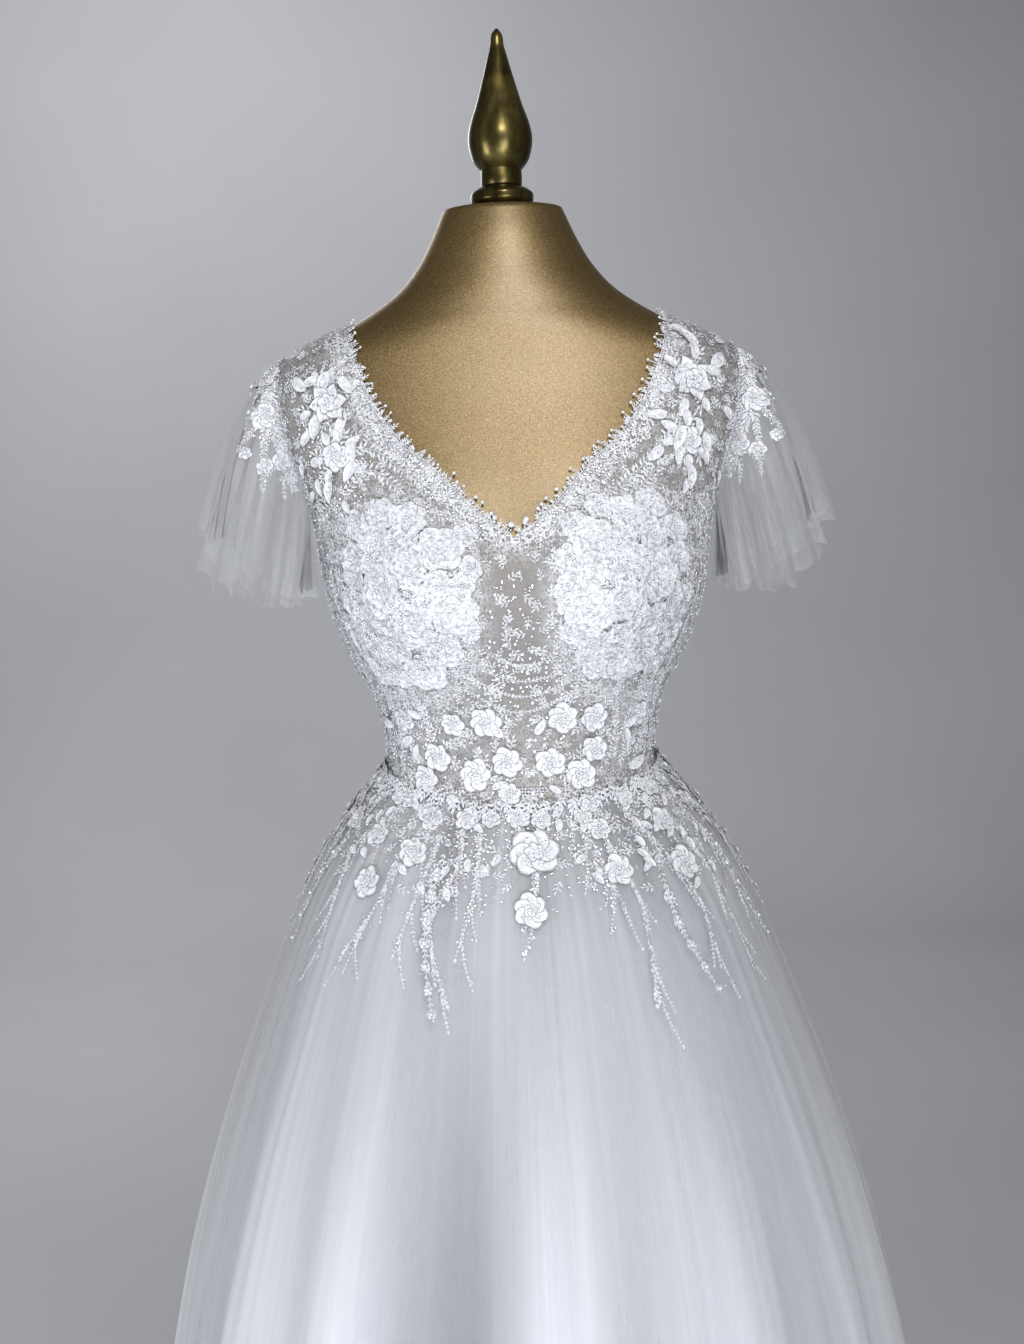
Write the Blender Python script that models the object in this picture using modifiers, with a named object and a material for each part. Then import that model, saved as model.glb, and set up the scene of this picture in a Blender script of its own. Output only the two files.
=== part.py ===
# Wedding dress with flutter sleeves and a floor-length tulle skirt, on a limbless dress form.
# Metres, +Z up. The front faces -Y and the origin is on the floor, under the middle of the hem.
# A point on the body is a turn and a height: turn 0 is the centre front, 90 degrees is the
# side at +X, 180 degrees is the centre back. A lift is a distance out from the body's surface.

from collections import Counter
from math import pi, radians

import bpy
import numpy as np

# Form and stand
BODY_COLUMNS = ("height", "half_width", "front", "back", "squareness")
BODY_ROWS = (
    (0.800, 0.1500, 0.100, 0.105, 2.20),  # lower rim of the form
    (0.812, 0.1590, 0.107, 0.113, 2.20),
    (0.860, 0.1660, 0.114, 0.122, 2.20),  # hips
    (0.920, 0.1630, 0.110, 0.122, 2.20),
    (0.980, 0.1460, 0.101, 0.112, 2.15),
    (1.020, 0.1300, 0.093, 0.100, 2.10),
    (1.050, 0.1215, 0.088, 0.092, 2.10),  # waist
    (1.080, 0.1245, 0.090, 0.092, 2.10),
    (1.118, 0.1330, 0.096, 0.096, 2.15),
    (1.150, 0.1480, 0.100, 0.100, 2.20),
    (1.180, 0.1600, 0.104, 0.104, 2.25),
    (1.210, 0.1705, 0.106, 0.107, 2.30),  # bust line
    (1.240, 0.1750, 0.105, 0.109, 2.35),
    (1.275, 0.1800, 0.101, 0.110, 2.40),
    (1.315, 0.1920, 0.094, 0.109, 2.45),
    (1.353, 0.2050, 0.087, 0.106, 2.50),
    (1.385, 0.2100, 0.081, 0.101, 2.40),
    (1.408, 0.2070, 0.076, 0.095, 2.30),
    (1.424, 0.1960, 0.073, 0.091, 2.25),  # shoulder tips
    (1.436, 0.1750, 0.071, 0.087, 2.20),
    (1.448, 0.1480, 0.069, 0.082, 2.15),
    (1.460, 0.1260, 0.066, 0.076, 2.10),
    (1.477, 0.1010, 0.063, 0.070, 2.05),
    (1.500, 0.0800, 0.058, 0.063, 2.00),
    (1.523, 0.0665, 0.054, 0.058, 2.00),
    (1.550, 0.0540, 0.046, 0.049, 2.00),  # rim of the neck cap
)
NECK_CAP = 1.5535
BUST_HEIGHT = 1.212
BUST_ACROSS = 0.083
BUST_DEPTH = 0.029
BUST_WIDE = 0.045
BUST_TALL = 0.045
BODY_SIDES = 40
FAST_WIDEN = 0.0195  # the form takes an extra ring where its half width changes more than this
BASE_RADIUS = 0.175
BASE_THICK = 0.012
HUB_RADIUS = 0.032
HUB_TOP = 0.034
POLE_RADIUS = 0.016
FINIAL_PROFILE = (  # radius, height above the neck cap, from the tip down
    (0.0000, 0.1545),
    (0.0022, 0.1525),
    (0.0065, 0.1380),
    (0.0135, 0.1130),
    (0.0210, 0.0880),
    (0.0272, 0.0700),
    (0.0290, 0.0600),
    (0.0280, 0.0490),
    (0.0232, 0.0370),
    (0.0184, 0.0315),
    (0.0184, 0.0180),
    (0.0165, 0.0168),
    (0.0165, 0.0158),
    (0.0225, 0.0150),
    (0.0278, 0.0110),
    (0.0285, 0.0070),
    (0.0278, 0.0030),
    (0.0250, 0.0000),
    (0.0000, 0.0000),
)
FINIAL_STEPS = 20

# Clearances and thicknesses
SEAM = 0.0003
REST = 0.0003
UNDER_NET = 0.0022
UNDER_CUP = 0.0012
CUP_THICK = 0.0016
OVER_CUP = 0.0033
NET_THICK = 0.0012
UNDER_BONE = 0.0013
EDGING_CLEAR = 0.0010
SLEEVE_CLEAR = 0.0007
FLOWER_CLEAR = {"cup": 0.0006, "bodice": 0.0009, "skirt": 0.0006}
SPRAY_CLEAR = 0.0009
TRIM_THICK = 0.0013

# Bodice
SIDE_WAIST = 1.045
WAIST_DIP = 0.025
V_BOTTOM = 1.262
NECK_POINT_ACROSS = 0.143
NECK_POINT_HEIGHT = 1.4505
NECKLINE = (  # across, height, from the bottom of the V to the shoulder
    (0.000, V_BOTTOM),
    (0.014, 1.268),
    (0.042, 1.294),
    (0.070, 1.323),
    (0.098, 1.349),
    (0.122, 1.387),
    (0.135, 1.420),
    (NECK_POINT_ACROSS, NECK_POINT_HEIGHT),
)
BACK_SCOOP = 1.385
ARMHOLE_MIDDLE = 1.356
ARMHOLE_TALL = 0.068
ARMHOLE_FRONT = radians(15)
ARMHOLE_BACK = radians(17)
SIDE_SHARE = 0.50  # share of a panel's rows below the V, or below the back scoop
FRONT_ROWS = 21
FRONT_STRIPS = 10
BACK_ROWS = 15
BACK_STRIPS = 8
CUP_ACROSS = 0.094
CUP_HEIGHT = 1.203
CUP_HALF_WIDE = 0.064
CUP_HALF_TALL = 0.086
CUP_RINGS = 4
CUP_SIDES = 22
BONE_TOP = (0.098, 1.112)
BONE_FOOT = (0.086, 1.044)
BONE_WIDE = 0.011
BONE_STEPS = 5
PICOT_DEEP = 0.006
FRONT_PICOTS = 15
BACK_PICOTS = 9
EDGING_WIDE = 0.005

# Sleeves. Each row is the curve down one side of a sleeve: degrees around the armhole,
# then the bend's across, y and height, then the hem's across, y and height
SLEEVE_ROWS = (
    (0.0, 0.254, 0.000, 1.404, 0.287, 0.000, 1.258),  # shoulder tip
    (45.0, 0.238, -0.038, 1.378, 0.272, -0.062, 1.226),
    (90.0, 0.212, -0.060, 1.315, 0.232, -0.086, 1.205),  # front
    (135.0, 0.196, -0.036, 1.268, 0.200, -0.058, 1.203),
    (180.0, 0.192, 0.000, 1.250, 0.194, 0.000, 1.206),  # underarm
    (225.0, 0.196, 0.040, 1.268, 0.200, 0.062, 1.203),
    (270.0, 0.212, 0.066, 1.315, 0.232, 0.092, 1.205),  # back
    (315.0, 0.238, 0.042, 1.378, 0.272, 0.066, 1.226),
)
SLEEVE_THICK = 0.0010
SLEEVE_WAVES = 8
SLEEVE_WAVE_DEEP = 0.0075
SLEEVE_SIDES = 40
SLEEVE_STEPS = 4

# Skirt
SKIRT_ROWS = (  # height, half width of the outer tulle's middle line
    (0.012, 0.440),
    (0.150, 0.418),
    (0.300, 0.388),
    (0.454, 0.357),
    (0.580, 0.331),
    (0.692, 0.300),
    (0.758, 0.278),
    (0.814, 0.257),
    (0.869, 0.236),
    (0.923, 0.213),
    (0.967, 0.189),
    (1.002, 0.165),
    (1.025, 0.146),
    (SIDE_WAIST, 0.1275),
)
HEM_DEPTH = 0.370  # from the middle of the hem to its front and to its back
SKIRT_SLOPE = 0.93  # height gained for each length up the skirt below the waist
FOLDS = 20
FOLD_DEEP = 0.0100
SKIRT_STEPS = (0.0, 0.035, 0.10, 0.22, 0.50, 1.0)
LAYERS = {  # lift at the waist, height of the hem, then shares of the outer swing and folds
    "skirt_lining": dict(thick=0.0010, lift=0.0022, hem=0.022, share=0.84, fold=0.45, sides=40),
    "skirt_tulle_inner": dict(thick=0.0010, lift=0.0039, hem=0.017, share=0.92, fold=0.70, sides=40),
    "skirt_tulle_outer": dict(thick=0.0012, lift=0.0056, hem=0.012, share=1.00, fold=1.00, sides=80),
}
OUTER = LAYERS["skirt_tulle_outer"]
PANELS = (  # name, its layer, then degrees round of its first and last seam
    ("skirt_lining_front_right", "skirt_lining", 0, 54),
    ("skirt_lining_side_right", "skirt_lining", 54, 126),
    ("skirt_lining_back_right", "skirt_lining", 126, 180),
    ("skirt_lining_back_left", "skirt_lining", 180, 234),
    ("skirt_lining_side_left", "skirt_lining", 234, 306),
    ("skirt_lining_front_left", "skirt_lining", 306, 360),
    ("skirt_tulle_inner", "skirt_tulle_inner", 0, 360),
    ("skirt_tulle_outer_front", "skirt_tulle_outer", -90, 90),
    ("skirt_tulle_outer_back", "skirt_tulle_outer", 90, 270),
)

# Raised flowers of the lace
FLOWER_ROWS = (  # name, what it lies on, across, height, radius, degrees it is spun
    ("flower_shoulder_left", "bodice", -0.158, 1.380, 0.021, 20),
    ("flower_shoulder_right", "bodice", 0.160, 1.390, 0.022, 50),
    ("flower_armhole_left", "bodice", -0.152, 1.334, 0.014, 0),
    ("flower_armhole_right", "bodice", 0.154, 1.338, 0.014, 30),
    ("flower_cup_upper_left", "cup", -0.064, 1.250, 0.021, 25),
    ("flower_cup_upper_right", "cup", 0.066, 1.254, 0.021, 40),
    ("flower_cup_side_left", "cup", -0.112, 1.218, 0.023, 65),
    ("flower_cup_side_right", "cup", 0.116, 1.222, 0.023, 5),
    ("flower_cup_middle_left", "bodice", -0.056, 1.202, 0.023, 30),
    ("flower_cup_middle_right", "cup", 0.062, 1.200, 0.024, 55),
    ("flower_cup_lower_left", "bodice", -0.078, 1.148, 0.019, 15),
    ("flower_cup_lower_right", "bodice", 0.082, 1.152, 0.019, 35),
    ("flower_midriff_left", "bodice", -0.030, 1.100, 0.0150, 25),
    ("flower_midriff_right", "bodice", 0.036, 1.102, 0.0150, 60),
    ("flower_waist_left", "bodice", -0.013, 1.062, 0.0145, 45),
    ("flower_waist_right", "bodice", 0.024, 1.060, 0.0145, 10),
    ("flower_side_left", "bodice", -0.072, 1.066, 0.0140, 35),
    ("flower_side_right", "bodice", 0.062, 1.070, 0.0130, 20),
    ("flower_drop_centre", "skirt", 0.008, 0.986, 0.0230, 18),
    ("flower_drop_lower", "skirt", 0.003, 0.942, 0.0160, 50),
    ("flower_drop_left", "skirt", -0.098, 0.985, 0.0150, 5),
    ("flower_drop_right", "skirt", 0.080, 0.968, 0.0150, 40),
    ("flower_hip_right", "skirt", 0.140, 0.965, 0.0160, 70),
    ("flower_hip_left", "skirt", -0.140, 0.958, 0.0150, 70),
)
PETALS = 5
PETAL_NOTCH = 0.72  # share of the radius left between two petals
PETAL_THICK = 0.0016
HEART_SHARE = 0.42
HEART_THICK = 0.0026
SPRAY_ROWS = (  # name, degrees round and height of the top, then of the foot
    ("spray_front_left", -24, 0.985, -20, 0.862),
    ("spray_front_right", 38, 0.960, 43, 0.862),
    ("spray_side_left", -68, 0.990, -72, 0.895),
    ("spray_side_right", 68, 0.985, 72, 0.885),
    ("spray_hip_left", -92, 0.985, -96, 0.890),
    ("spray_hip_right", 92, 0.985, 96, 0.890),
    ("spray_back_left", -135, 0.990, -139, 0.880),
    ("spray_back_right", 135, 0.990, 139, 0.880),
    ("spray_back_middle", 180, 0.995, 180, 0.865),
)
SPRAY_WIDE = 0.013
SPRAY_STEPS = 8
SPRAY_NOTCH = 0.55  # share of the width left between two leaves
SPRAY_TAPER = 0.75
STEP_ALONG = 1e-4  # the small step that slopes are measured over

MATERIALS = {  # colour, roughness, metallic
    "gold_fabric": ((0.50, 0.36, 0.19, 1), 0.55, 0.0),
    "aged_brass": ((0.30, 0.24, 0.09, 1), 0.30, 0.9),
    "stand_metal": ((0.05, 0.05, 0.05, 1), 0.45, 0.8),
    "net": ((0.62, 0.62, 0.64, 1), 0.75, 0.0),
    "cup_satin": ((0.85, 0.87, 0.90, 1), 0.60, 0.0),
    "lining": ((0.80, 0.82, 0.86, 1), 0.50, 0.0),
    "tulle": ((0.70, 0.71, 0.74, 1), 0.80, 0.0),
    "applique": ((0.88, 0.89, 0.92, 1), 0.65, 0.0),
}


def clear_scene():
    for thing in list(bpy.data.objects):
        bpy.data.objects.remove(thing, do_unlink=True)


def new_collection(name):
    made = bpy.data.collections.new(name)
    bpy.context.scene.collection.children.link(made)
    return made


def new_material(name):
    colour, roughness, metallic = MATERIALS[name]
    made = bpy.data.materials.new(name)
    made.use_nodes = True
    shader = made.node_tree.nodes["Principled BSDF"]
    shader.inputs["Base Color"].default_value = colour
    shader.inputs["Roughness"].default_value = roughness
    shader.inputs["Metallic"].default_value = metallic
    return made


def new_object(name, points, faces, material):
    """One smooth-shaded mesh object in the part's collection."""
    mesh = bpy.data.meshes.new(name)
    mesh.from_pydata(np.asarray(points).tolist(), [], [tuple(map(int, f)) for f in faces])
    mesh.materials.append(materials[material])
    mesh.shade_smooth()
    mesh.set_sharp_from_angle(angle=radians(50))
    made = bpy.data.objects.new(name, mesh)
    collection.objects.link(made)
    return made


def smooth_table(rows, column, at):
    """A table's column as a smooth curve through its rows, whose first column is the key."""
    table = np.array(rows, float)
    table = table[np.argsort(table[:, 0])]
    keys, values = table[:, 0], table[:, column]
    slopes = np.gradient(values, keys)
    low = np.clip(np.searchsorted(keys, at) - 1, 0, len(keys) - 2)
    span = keys[low + 1] - keys[low]
    t = np.clip((at - keys[low]) / span, 0, 1)
    rise = 3 * t**2 - 2 * t**3
    start = (t**3 - 2 * t**2 + t) * span * slopes[low]
    end = (t**3 - t**2) * span * slopes[low + 1]
    return values[low] * (1 - rise) + values[low + 1] * rise + start + end


def ease(low, high, at):
    """0 below low, 1 above high, and a smooth step between."""
    t = np.clip((at - low) / (high - low), 0, 1)
    return t * t * (3 - 2 * t)


def body_size(name, height):
    return smooth_table(BODY_ROWS, BODY_COLUMNS.index(name), height)


def body_point(turn, height):
    """The form's surface: a rounded-square section at each height, with a fuller bust."""
    sine, cosine = np.sin(turn), np.cos(turn)
    power = 2 / body_size("squareness", height)
    depth = np.where(cosine > 0, body_size("front", height), body_size("back", height))
    x = body_size("half_width", height) * np.sign(sine) * np.abs(sine) ** power
    y = -depth * np.sign(cosine) * np.abs(cosine) ** power
    rise = np.exp(-(((height - BUST_HEIGHT) / BUST_TALL) ** 2) / 2)
    left = np.exp(-(((x + BUST_ACROSS) / BUST_WIDE) ** 2) / 2)
    right = np.exp(-(((x - BUST_ACROSS) / BUST_WIDE) ** 2) / 2)
    y = y - BUST_DEPTH * rise * (left + right) * np.sqrt(np.clip(cosine, 0, 1))
    return np.stack([x, y, height + 0 * x], axis=-1)


def unit(vectors):
    return vectors / np.linalg.norm(vectors, axis=-1, keepdims=True)


def on_body(turn, height, lift):
    """A point lifted off the form along its surface's own outward direction."""
    turn, height = np.broadcast_arrays(np.asarray(turn, float), np.asarray(height, float))
    small = radians(0.5)
    across = body_point(turn + small, height) - body_point(turn - small, height)
    upward = body_point(turn, height + STEP_ALONG) - body_point(turn, height - STEP_ALONG)
    out = unit(np.cross(across, upward))
    return body_point(turn, height) + out * np.asarray(lift)[..., None]


def turn_at(across, height):
    """The turn on the front at which the form's surface is this far across."""
    share = np.clip(np.abs(across) / body_size("half_width", height), 0, 1)
    return np.sign(across) * np.arcsin(share ** (body_size("squareness", height) / 2))


def side_turn(height):
    """The turn just short of the side seam, by half the seam's gap."""
    share = SEAM / 2 / body_size("front", height)
    return pi / 2 - np.arcsin(share ** (body_size("squareness", height) / 2))


def seam_height(turn):
    """The waist seam, which dips at the centre front."""
    return SIDE_WAIST - WAIST_DIP * np.clip(np.cos(turn), 0, 1) ** 1.5


def net_lift(turn, height):
    """How far the net stands off the form: close at the shoulders, and clear of cups and bones."""
    across = np.abs(body_point(turn, height)[..., 0])
    wide, tall = (across - CUP_ACROSS) / CUP_HALF_WIDE, (height - CUP_HEIGHT) / CUP_HALF_TALL
    off_cup = ease(1.0, 1.2, np.hypot(wide, tall))
    off_middle = ease(radians(60), radians(80), np.abs(turn))
    off_middle = 1 - (1 - off_middle) * (1 - ease(1.200, 1.250, height))
    raised = (1 - off_cup * off_middle) * (np.cos(turn) > 0)
    return UNDER_NET + OVER_CUP * raised


def grid_faces(rows, columns, wrap=False):
    """Triangles over a grid of points, with every quad split along the same diagonal."""
    faces = []
    for i in range(rows - 1):
        for j in range(columns if wrap else columns - 1):
            k = (j + 1) % columns
            a, b = i * columns + j, i * columns + k
            c, d = b + columns, a + columns
            faces += [(a, b, c), (a, c, d)]
    return faces


def disc_faces(sides, rings):
    """Triangles over a disc: a centre point, then rings of points around it."""
    faces = [(0, 1 + (j + 1) % sides, 1 + j) for j in range(sides)]
    faces += [tuple(1 + v for v in f) for f in grid_faces(rings, sides, wrap=True)]
    return faces


def wall(name, inner, outer, faces, material):
    """A closed wall between two layers of matching points, with a rim along each open edge."""
    inner, outer = np.reshape(inner, (-1, 3)), np.reshape(outer, (-1, 3))
    triangles = np.array(faces)
    corners = outer[triangles]
    facing = np.cross(corners[:, 1] - corners[:, 0], corners[:, 2] - corners[:, 0])
    if (facing * (outer - inner)[triangles[:, 0]]).sum() < 0:
        triangles = triangles[:, ::-1]
    count = len(outer)
    edges = Counter()
    for a, b, c in triangles.tolist():
        edges.update(((a, b), (b, c), (c, a)))
    made = [tuple(f) for f in triangles.tolist()]
    made += [(c + count, b + count, a + count) for a, b, c in triangles.tolist()]
    for a, b in edges:
        if (b, a) not in edges:
            made += [(b, a, a + count), (b, a + count, b + count)]
    return new_object(name, np.vstack([outer, inner]), made, material)


def make_torso():
    """The padded form, closed by a flat underside and a slightly domed neck cap."""
    turns = np.arange(BODY_SIDES) * 2 * pi / BODY_SIDES
    heights = [row[0] for row in BODY_ROWS]
    for below, above in zip(BODY_ROWS[:-1], BODY_ROWS[1:]):
        if abs(above[1] - below[1]) > FAST_WIDEN:
            heights.append((below[0] + above[0]) / 2)
    heights = np.sort(heights)
    rings = body_point(turns[None, :], heights[:, None]).reshape(-1, 3)
    points = np.vstack([rings, (0, 0, heights[0]), (0, 0, NECK_CAP)])
    faces = grid_faces(len(heights), BODY_SIDES, wrap=True)
    foot, top = len(rings), len(rings) + 1
    last = (len(heights) - 1) * BODY_SIDES
    for j in range(BODY_SIDES):
        k = (j + 1) % BODY_SIDES
        faces += [(k, j, foot), (last + j, last + k, top)]
    new_object("form_torso", points, faces, "gold_fabric")


def turned(name, profile, material, steps):
    """A turned solid from its profile at +X, given from top to bottom."""
    mesh = bpy.data.meshes.new(name)
    edges = [(i, i + 1) for i in range(len(profile) - 1)]
    mesh.from_pydata([(r, 0, z) for r, z in profile], edges, [])
    mesh.materials.append(materials[material])
    made = bpy.data.objects.new(name, mesh)
    collection.objects.link(made)
    screw = made.modifiers.new("turn", "SCREW")
    screw.steps = screw.render_steps = steps
    screw.use_merge_vertices = True
    screw.merge_threshold = 0.0001
    screw.use_smooth_shade = True
    return made


def make_stand():
    finial = turned("finial", FINIAL_PROFILE, "aged_brass", FINIAL_STEPS)
    finial.location.z = NECK_CAP + REST
    base = (
        (0, HUB_TOP),
        (HUB_RADIUS - 0.004, HUB_TOP),
        (HUB_RADIUS, HUB_TOP - 0.004),
        (HUB_RADIUS + 0.006, BASE_THICK + 0.006),
        (BASE_RADIUS - 0.010, BASE_THICK),
        (BASE_RADIUS, BASE_THICK - 0.006),
        (BASE_RADIUS, 0),
        (0, 0),
    )
    turned("stand_base", base, "stand_metal", 32)
    foot, top = HUB_TOP + REST, BODY_ROWS[0][0] - REST
    pole = ((0, top), (POLE_RADIUS, top), (POLE_RADIUS, foot), (0, foot))
    turned("stand_pole", pole, "stand_metal", 20)


def neckline_at(share):
    """The front neckline's turn and height, from the V at 0 to the shoulder at 1."""
    across = np.interp(share, np.linspace(0, 1, len(NECKLINE)), [row[0] for row in NECKLINE])
    height = smooth_table(NECKLINE, 1, across)
    turn = np.minimum(turn_at(across, height), side_turn(height))
    return np.where(share >= 1, side_turn(height), turn), height


def scoop_at(share):
    """The back neckline's turn and height, from the centre back at 0 to the shoulder at 1."""
    across = SEAM / 2 + (NECK_POINT_ACROSS - SEAM / 2) * share
    height = BACK_SCOOP + (NECK_POINT_HEIGHT - BACK_SCOOP) * share**2.4
    turn = pi - np.maximum(turn_at(across, height), turn_at(SEAM / 2, height))
    return np.where(share >= 1, pi - side_turn(height), turn), height


def armhole_at(share, reach):
    """The armhole's turn and height on one side, from the underarm at 0 to the shoulder at 1."""
    around = pi * (1 - share)
    height = ARMHOLE_MIDDLE + ARMHOLE_TALL * np.cos(around)
    limit = side_turn(height)
    return np.minimum(pi / 2 - reach * np.sin(around), limit), height


def evenly(line, share):
    """A line's turn and height at shares of its real length."""
    turn, height = line(np.linspace(0, 1, 800))
    steps = np.linalg.norm(np.diff(body_point(turn, height), axis=0), axis=1)
    length = np.r_[0, np.cumsum(steps)] / steps.sum()
    return np.interp(share, length, turn), np.interp(share, length, height)


def panel_edges(rows, back):
    """Turn and height down a half panel's inner edge and down its outer edge."""
    share = np.linspace(0, 1, rows)
    below = share < SIDE_SHARE
    low = np.clip(share / SIDE_SHARE, 0, 1)
    high = np.clip((share - SIDE_SHARE) / (1 - SIDE_SHARE), 0, 1)
    neck_turn, neck_height = evenly(scoop_at if back else neckline_at, high)
    foot = seam_height(pi if back else 0.0) + SEAM
    top = BACK_SCOOP if back else V_BOTTOM
    inner_height = np.where(below, foot + (top - foot) * low, neck_height)
    centre = pi - turn_at(SEAM / 2, inner_height) if back else 0.0
    inner_turn = np.where(below, centre, neck_turn)
    reach = ARMHOLE_BACK if back else ARMHOLE_FRONT
    arm_turn, arm_height = evenly(lambda at: armhole_at(at, reach), high)
    foot = SIDE_WAIST + SEAM
    top = ARMHOLE_MIDDLE - ARMHOLE_TALL
    outer_height = np.where(below, foot + (top - foot) * low, arm_height)
    outer_turn = np.where(below, side_turn(outer_height), arm_turn)
    return (inner_turn, inner_height), (pi - outer_turn if back else outer_turn, outer_height)


def half_panel(rows, strips, back):
    """Turn and height over a half panel, in straight rows from its inner to its outer edge."""
    inner, outer = panel_edges(rows, back)
    t = np.linspace(0, 1, strips + 1)[None, :]
    if back:
        t = 1 - (1 - t) ** 1.3
    turn = inner[0][:, None] * (1 - t) + outer[0][:, None] * t
    height = inner[1][:, None] * (1 - t) + outer[1][:, None] * t
    foot = seam_height(turn) + SEAM
    sink = np.linspace(1, 0, rows)[:, None] ** 3
    return turn, height + (foot - height[:1]) * sink


def net_wall(name, turn, height, faces):
    lift = net_lift(turn, height)
    inner = on_body(turn, height, lift)
    outer = on_body(turn, height, lift + NET_THICK)
    wall(name, inner, outer, faces, "net")


def make_front():
    """The front in one piece: two half panels welded where they share the centre line."""
    turn, height = half_panel(FRONT_ROWS, FRONT_STRIPS, back=False)
    places = np.stack([np.r_[turn.ravel(), -turn.ravel()], np.tile(height.ravel(), 2)], axis=1)
    faces = grid_faces(FRONT_ROWS, FRONT_STRIPS + 1)
    shift = turn.size
    faces = faces + [(a + shift, c + shift, b + shift) for a, b, c in faces]
    places, index = np.unique(np.round(places, 7) + 0.0, axis=0, return_inverse=True)
    faces = index.reshape(-1)[np.array(faces)]
    net_wall("bodice_front", places[:, 0], places[:, 1], faces)


def make_backs():
    turn, height = half_panel(BACK_ROWS, BACK_STRIPS, back=True)
    faces = grid_faces(BACK_ROWS, BACK_STRIPS + 1)
    net_wall("bodice_back_right", turn, height, faces)
    net_wall("bodice_back_left", -turn, height, faces)


def local_disc(turn, height, shares, angles, wide, tall):
    """Turns and heights of points around a place, at real distances along the surface."""
    small = radians(0.5)
    across = body_point(turn + small, height) - body_point(turn - small, height)
    upward = body_point(turn, height + STEP_ALONG) - body_point(turn, height - STEP_ALONG)
    per_turn = np.linalg.norm(across) / (2 * small)
    per_height = np.linalg.norm(upward) / (2 * STEP_ALONG)
    turns = turn + wide * shares * np.sin(angles) / per_turn
    return turns, height + tall * shares * np.cos(angles) / per_height


def make_cup(name, side):
    """A thin padded cup between the form and the net, thinner at its edge."""
    angles = np.arange(CUP_SIDES) * 2 * pi / CUP_SIDES
    shares = np.repeat(np.arange(1, CUP_RINGS + 1) / CUP_RINGS, CUP_SIDES)
    shares = np.r_[0, shares]
    angles = np.r_[0, np.tile(angles, CUP_RINGS)]
    middle = turn_at(side * CUP_ACROSS, CUP_HEIGHT)
    turn, height = local_disc(middle, CUP_HEIGHT, shares, angles, CUP_HALF_WIDE, CUP_HALF_TALL)
    thick = CUP_THICK * (1 - 0.4 * shares**4)
    inner = on_body(turn, height, UNDER_CUP + 0 * turn)
    outer = on_body(turn, height, UNDER_CUP + thick)
    wall(name, inner, outer, disc_faces(CUP_SIDES, CUP_RINGS), "cup_satin")


def between_rows(values, at):
    """Values read between the rows of an array, in straight lines."""
    low = np.minimum(at.astype(int), len(values) - 2)
    share = (at - low)[:, None]
    return values[low] * (1 - share) + values[low + 1] * share


def make_edging(name, turn, height, picots, side):
    """A narrow picot trim on the net's neck edge, made from the edge points of its panel."""
    first = int(np.ceil(SIDE_SHARE * (len(turn) - 1)))
    turn, height = turn[first:, :2], height[first:, :2]
    at = np.linspace(0.45, len(turn) - 1.12, picots * 2 + 1)
    picot = PICOT_DEEP * (np.arange(len(at)) % 2)
    low = net_lift(turn, height) + NET_THICK + EDGING_CLEAR
    layers = []
    for lift in (low, low + TRIM_THICK):
        points = on_body(turn, height, lift)
        inward = between_rows(unit(points[:, 0] - points[:, 1]), at)
        edge = between_rows(points[:, 0], at)
        rows = [edge - inward * EDGING_WIDE, edge + inward * (0.001 + picot)[:, None]]
        layers.append(np.stack(rows) * (side, 1, 1))
    wall(name, layers[0], layers[1], grid_faces(2, len(at)), "applique")


def make_bone(name, side):
    """The covered bone under the net, from the cup to the waist."""
    steps = np.linspace(0, 1, BONE_STEPS)[:, None]
    edges = np.array([-0.5, 0.5])[None, :] * BONE_WIDE
    across = BONE_TOP[0] * (1 - steps) + BONE_FOOT[0] * steps + edges
    height = BONE_TOP[1] * (1 - steps) + BONE_FOOT[1] * steps + 0 * edges
    turn = side * turn_at(across, height)
    inner = on_body(turn, height, UNDER_BONE + 0 * turn)
    outer = on_body(turn, height, UNDER_BONE + NET_THICK + 0 * turn)
    wall(name, inner, outer, grid_faces(BONE_STEPS, 2), "cup_satin")


def sleeve_points(around, down, side):
    """The sleeve's middle surface: a curve from the armhole over a bend to the wavy hem."""
    keys = np.array(SLEEVE_ROWS)
    closed = np.vstack([keys[-2:] - (360, 0, 0, 0, 0, 0, 0), keys, keys[:2] + (360, 0, 0, 0, 0, 0, 0)])
    values = [smooth_table(closed, k, np.degrees(around)) for k in range(1, 7)]
    bend, hem = np.stack(values[:3], axis=-1), np.stack(values[3:], axis=-1)
    reach = np.where(around < pi, ARMHOLE_FRONT, ARMHOLE_BACK)
    turn = pi / 2 - reach * np.sin(around)
    height = ARMHOLE_MIDDLE + ARMHOLE_TALL * np.cos(around)
    lift = net_lift(turn, height) + NET_THICK + SLEEVE_CLEAR + SLEEVE_THICK / 2
    top = on_body(turn, height, lift)
    w = down[..., None]
    points = top * (1 - w) ** 2 + bend * 2 * w * (1 - w) + hem * w**2
    out = np.stack([np.cos(around) * 0.7, -np.sin(around), 0.2 * np.cos(around)], axis=-1)
    wave = np.cos(around * SLEEVE_WAVES) * SLEEVE_WAVE_DEEP * np.abs(down) ** 1.5
    tuck = 1 - 0.6 * ease(0.4, 1.0, -np.cos(around))
    return (points + unit(out) * (wave * tuck)[..., None]) * (side, 1, 1)


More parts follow.
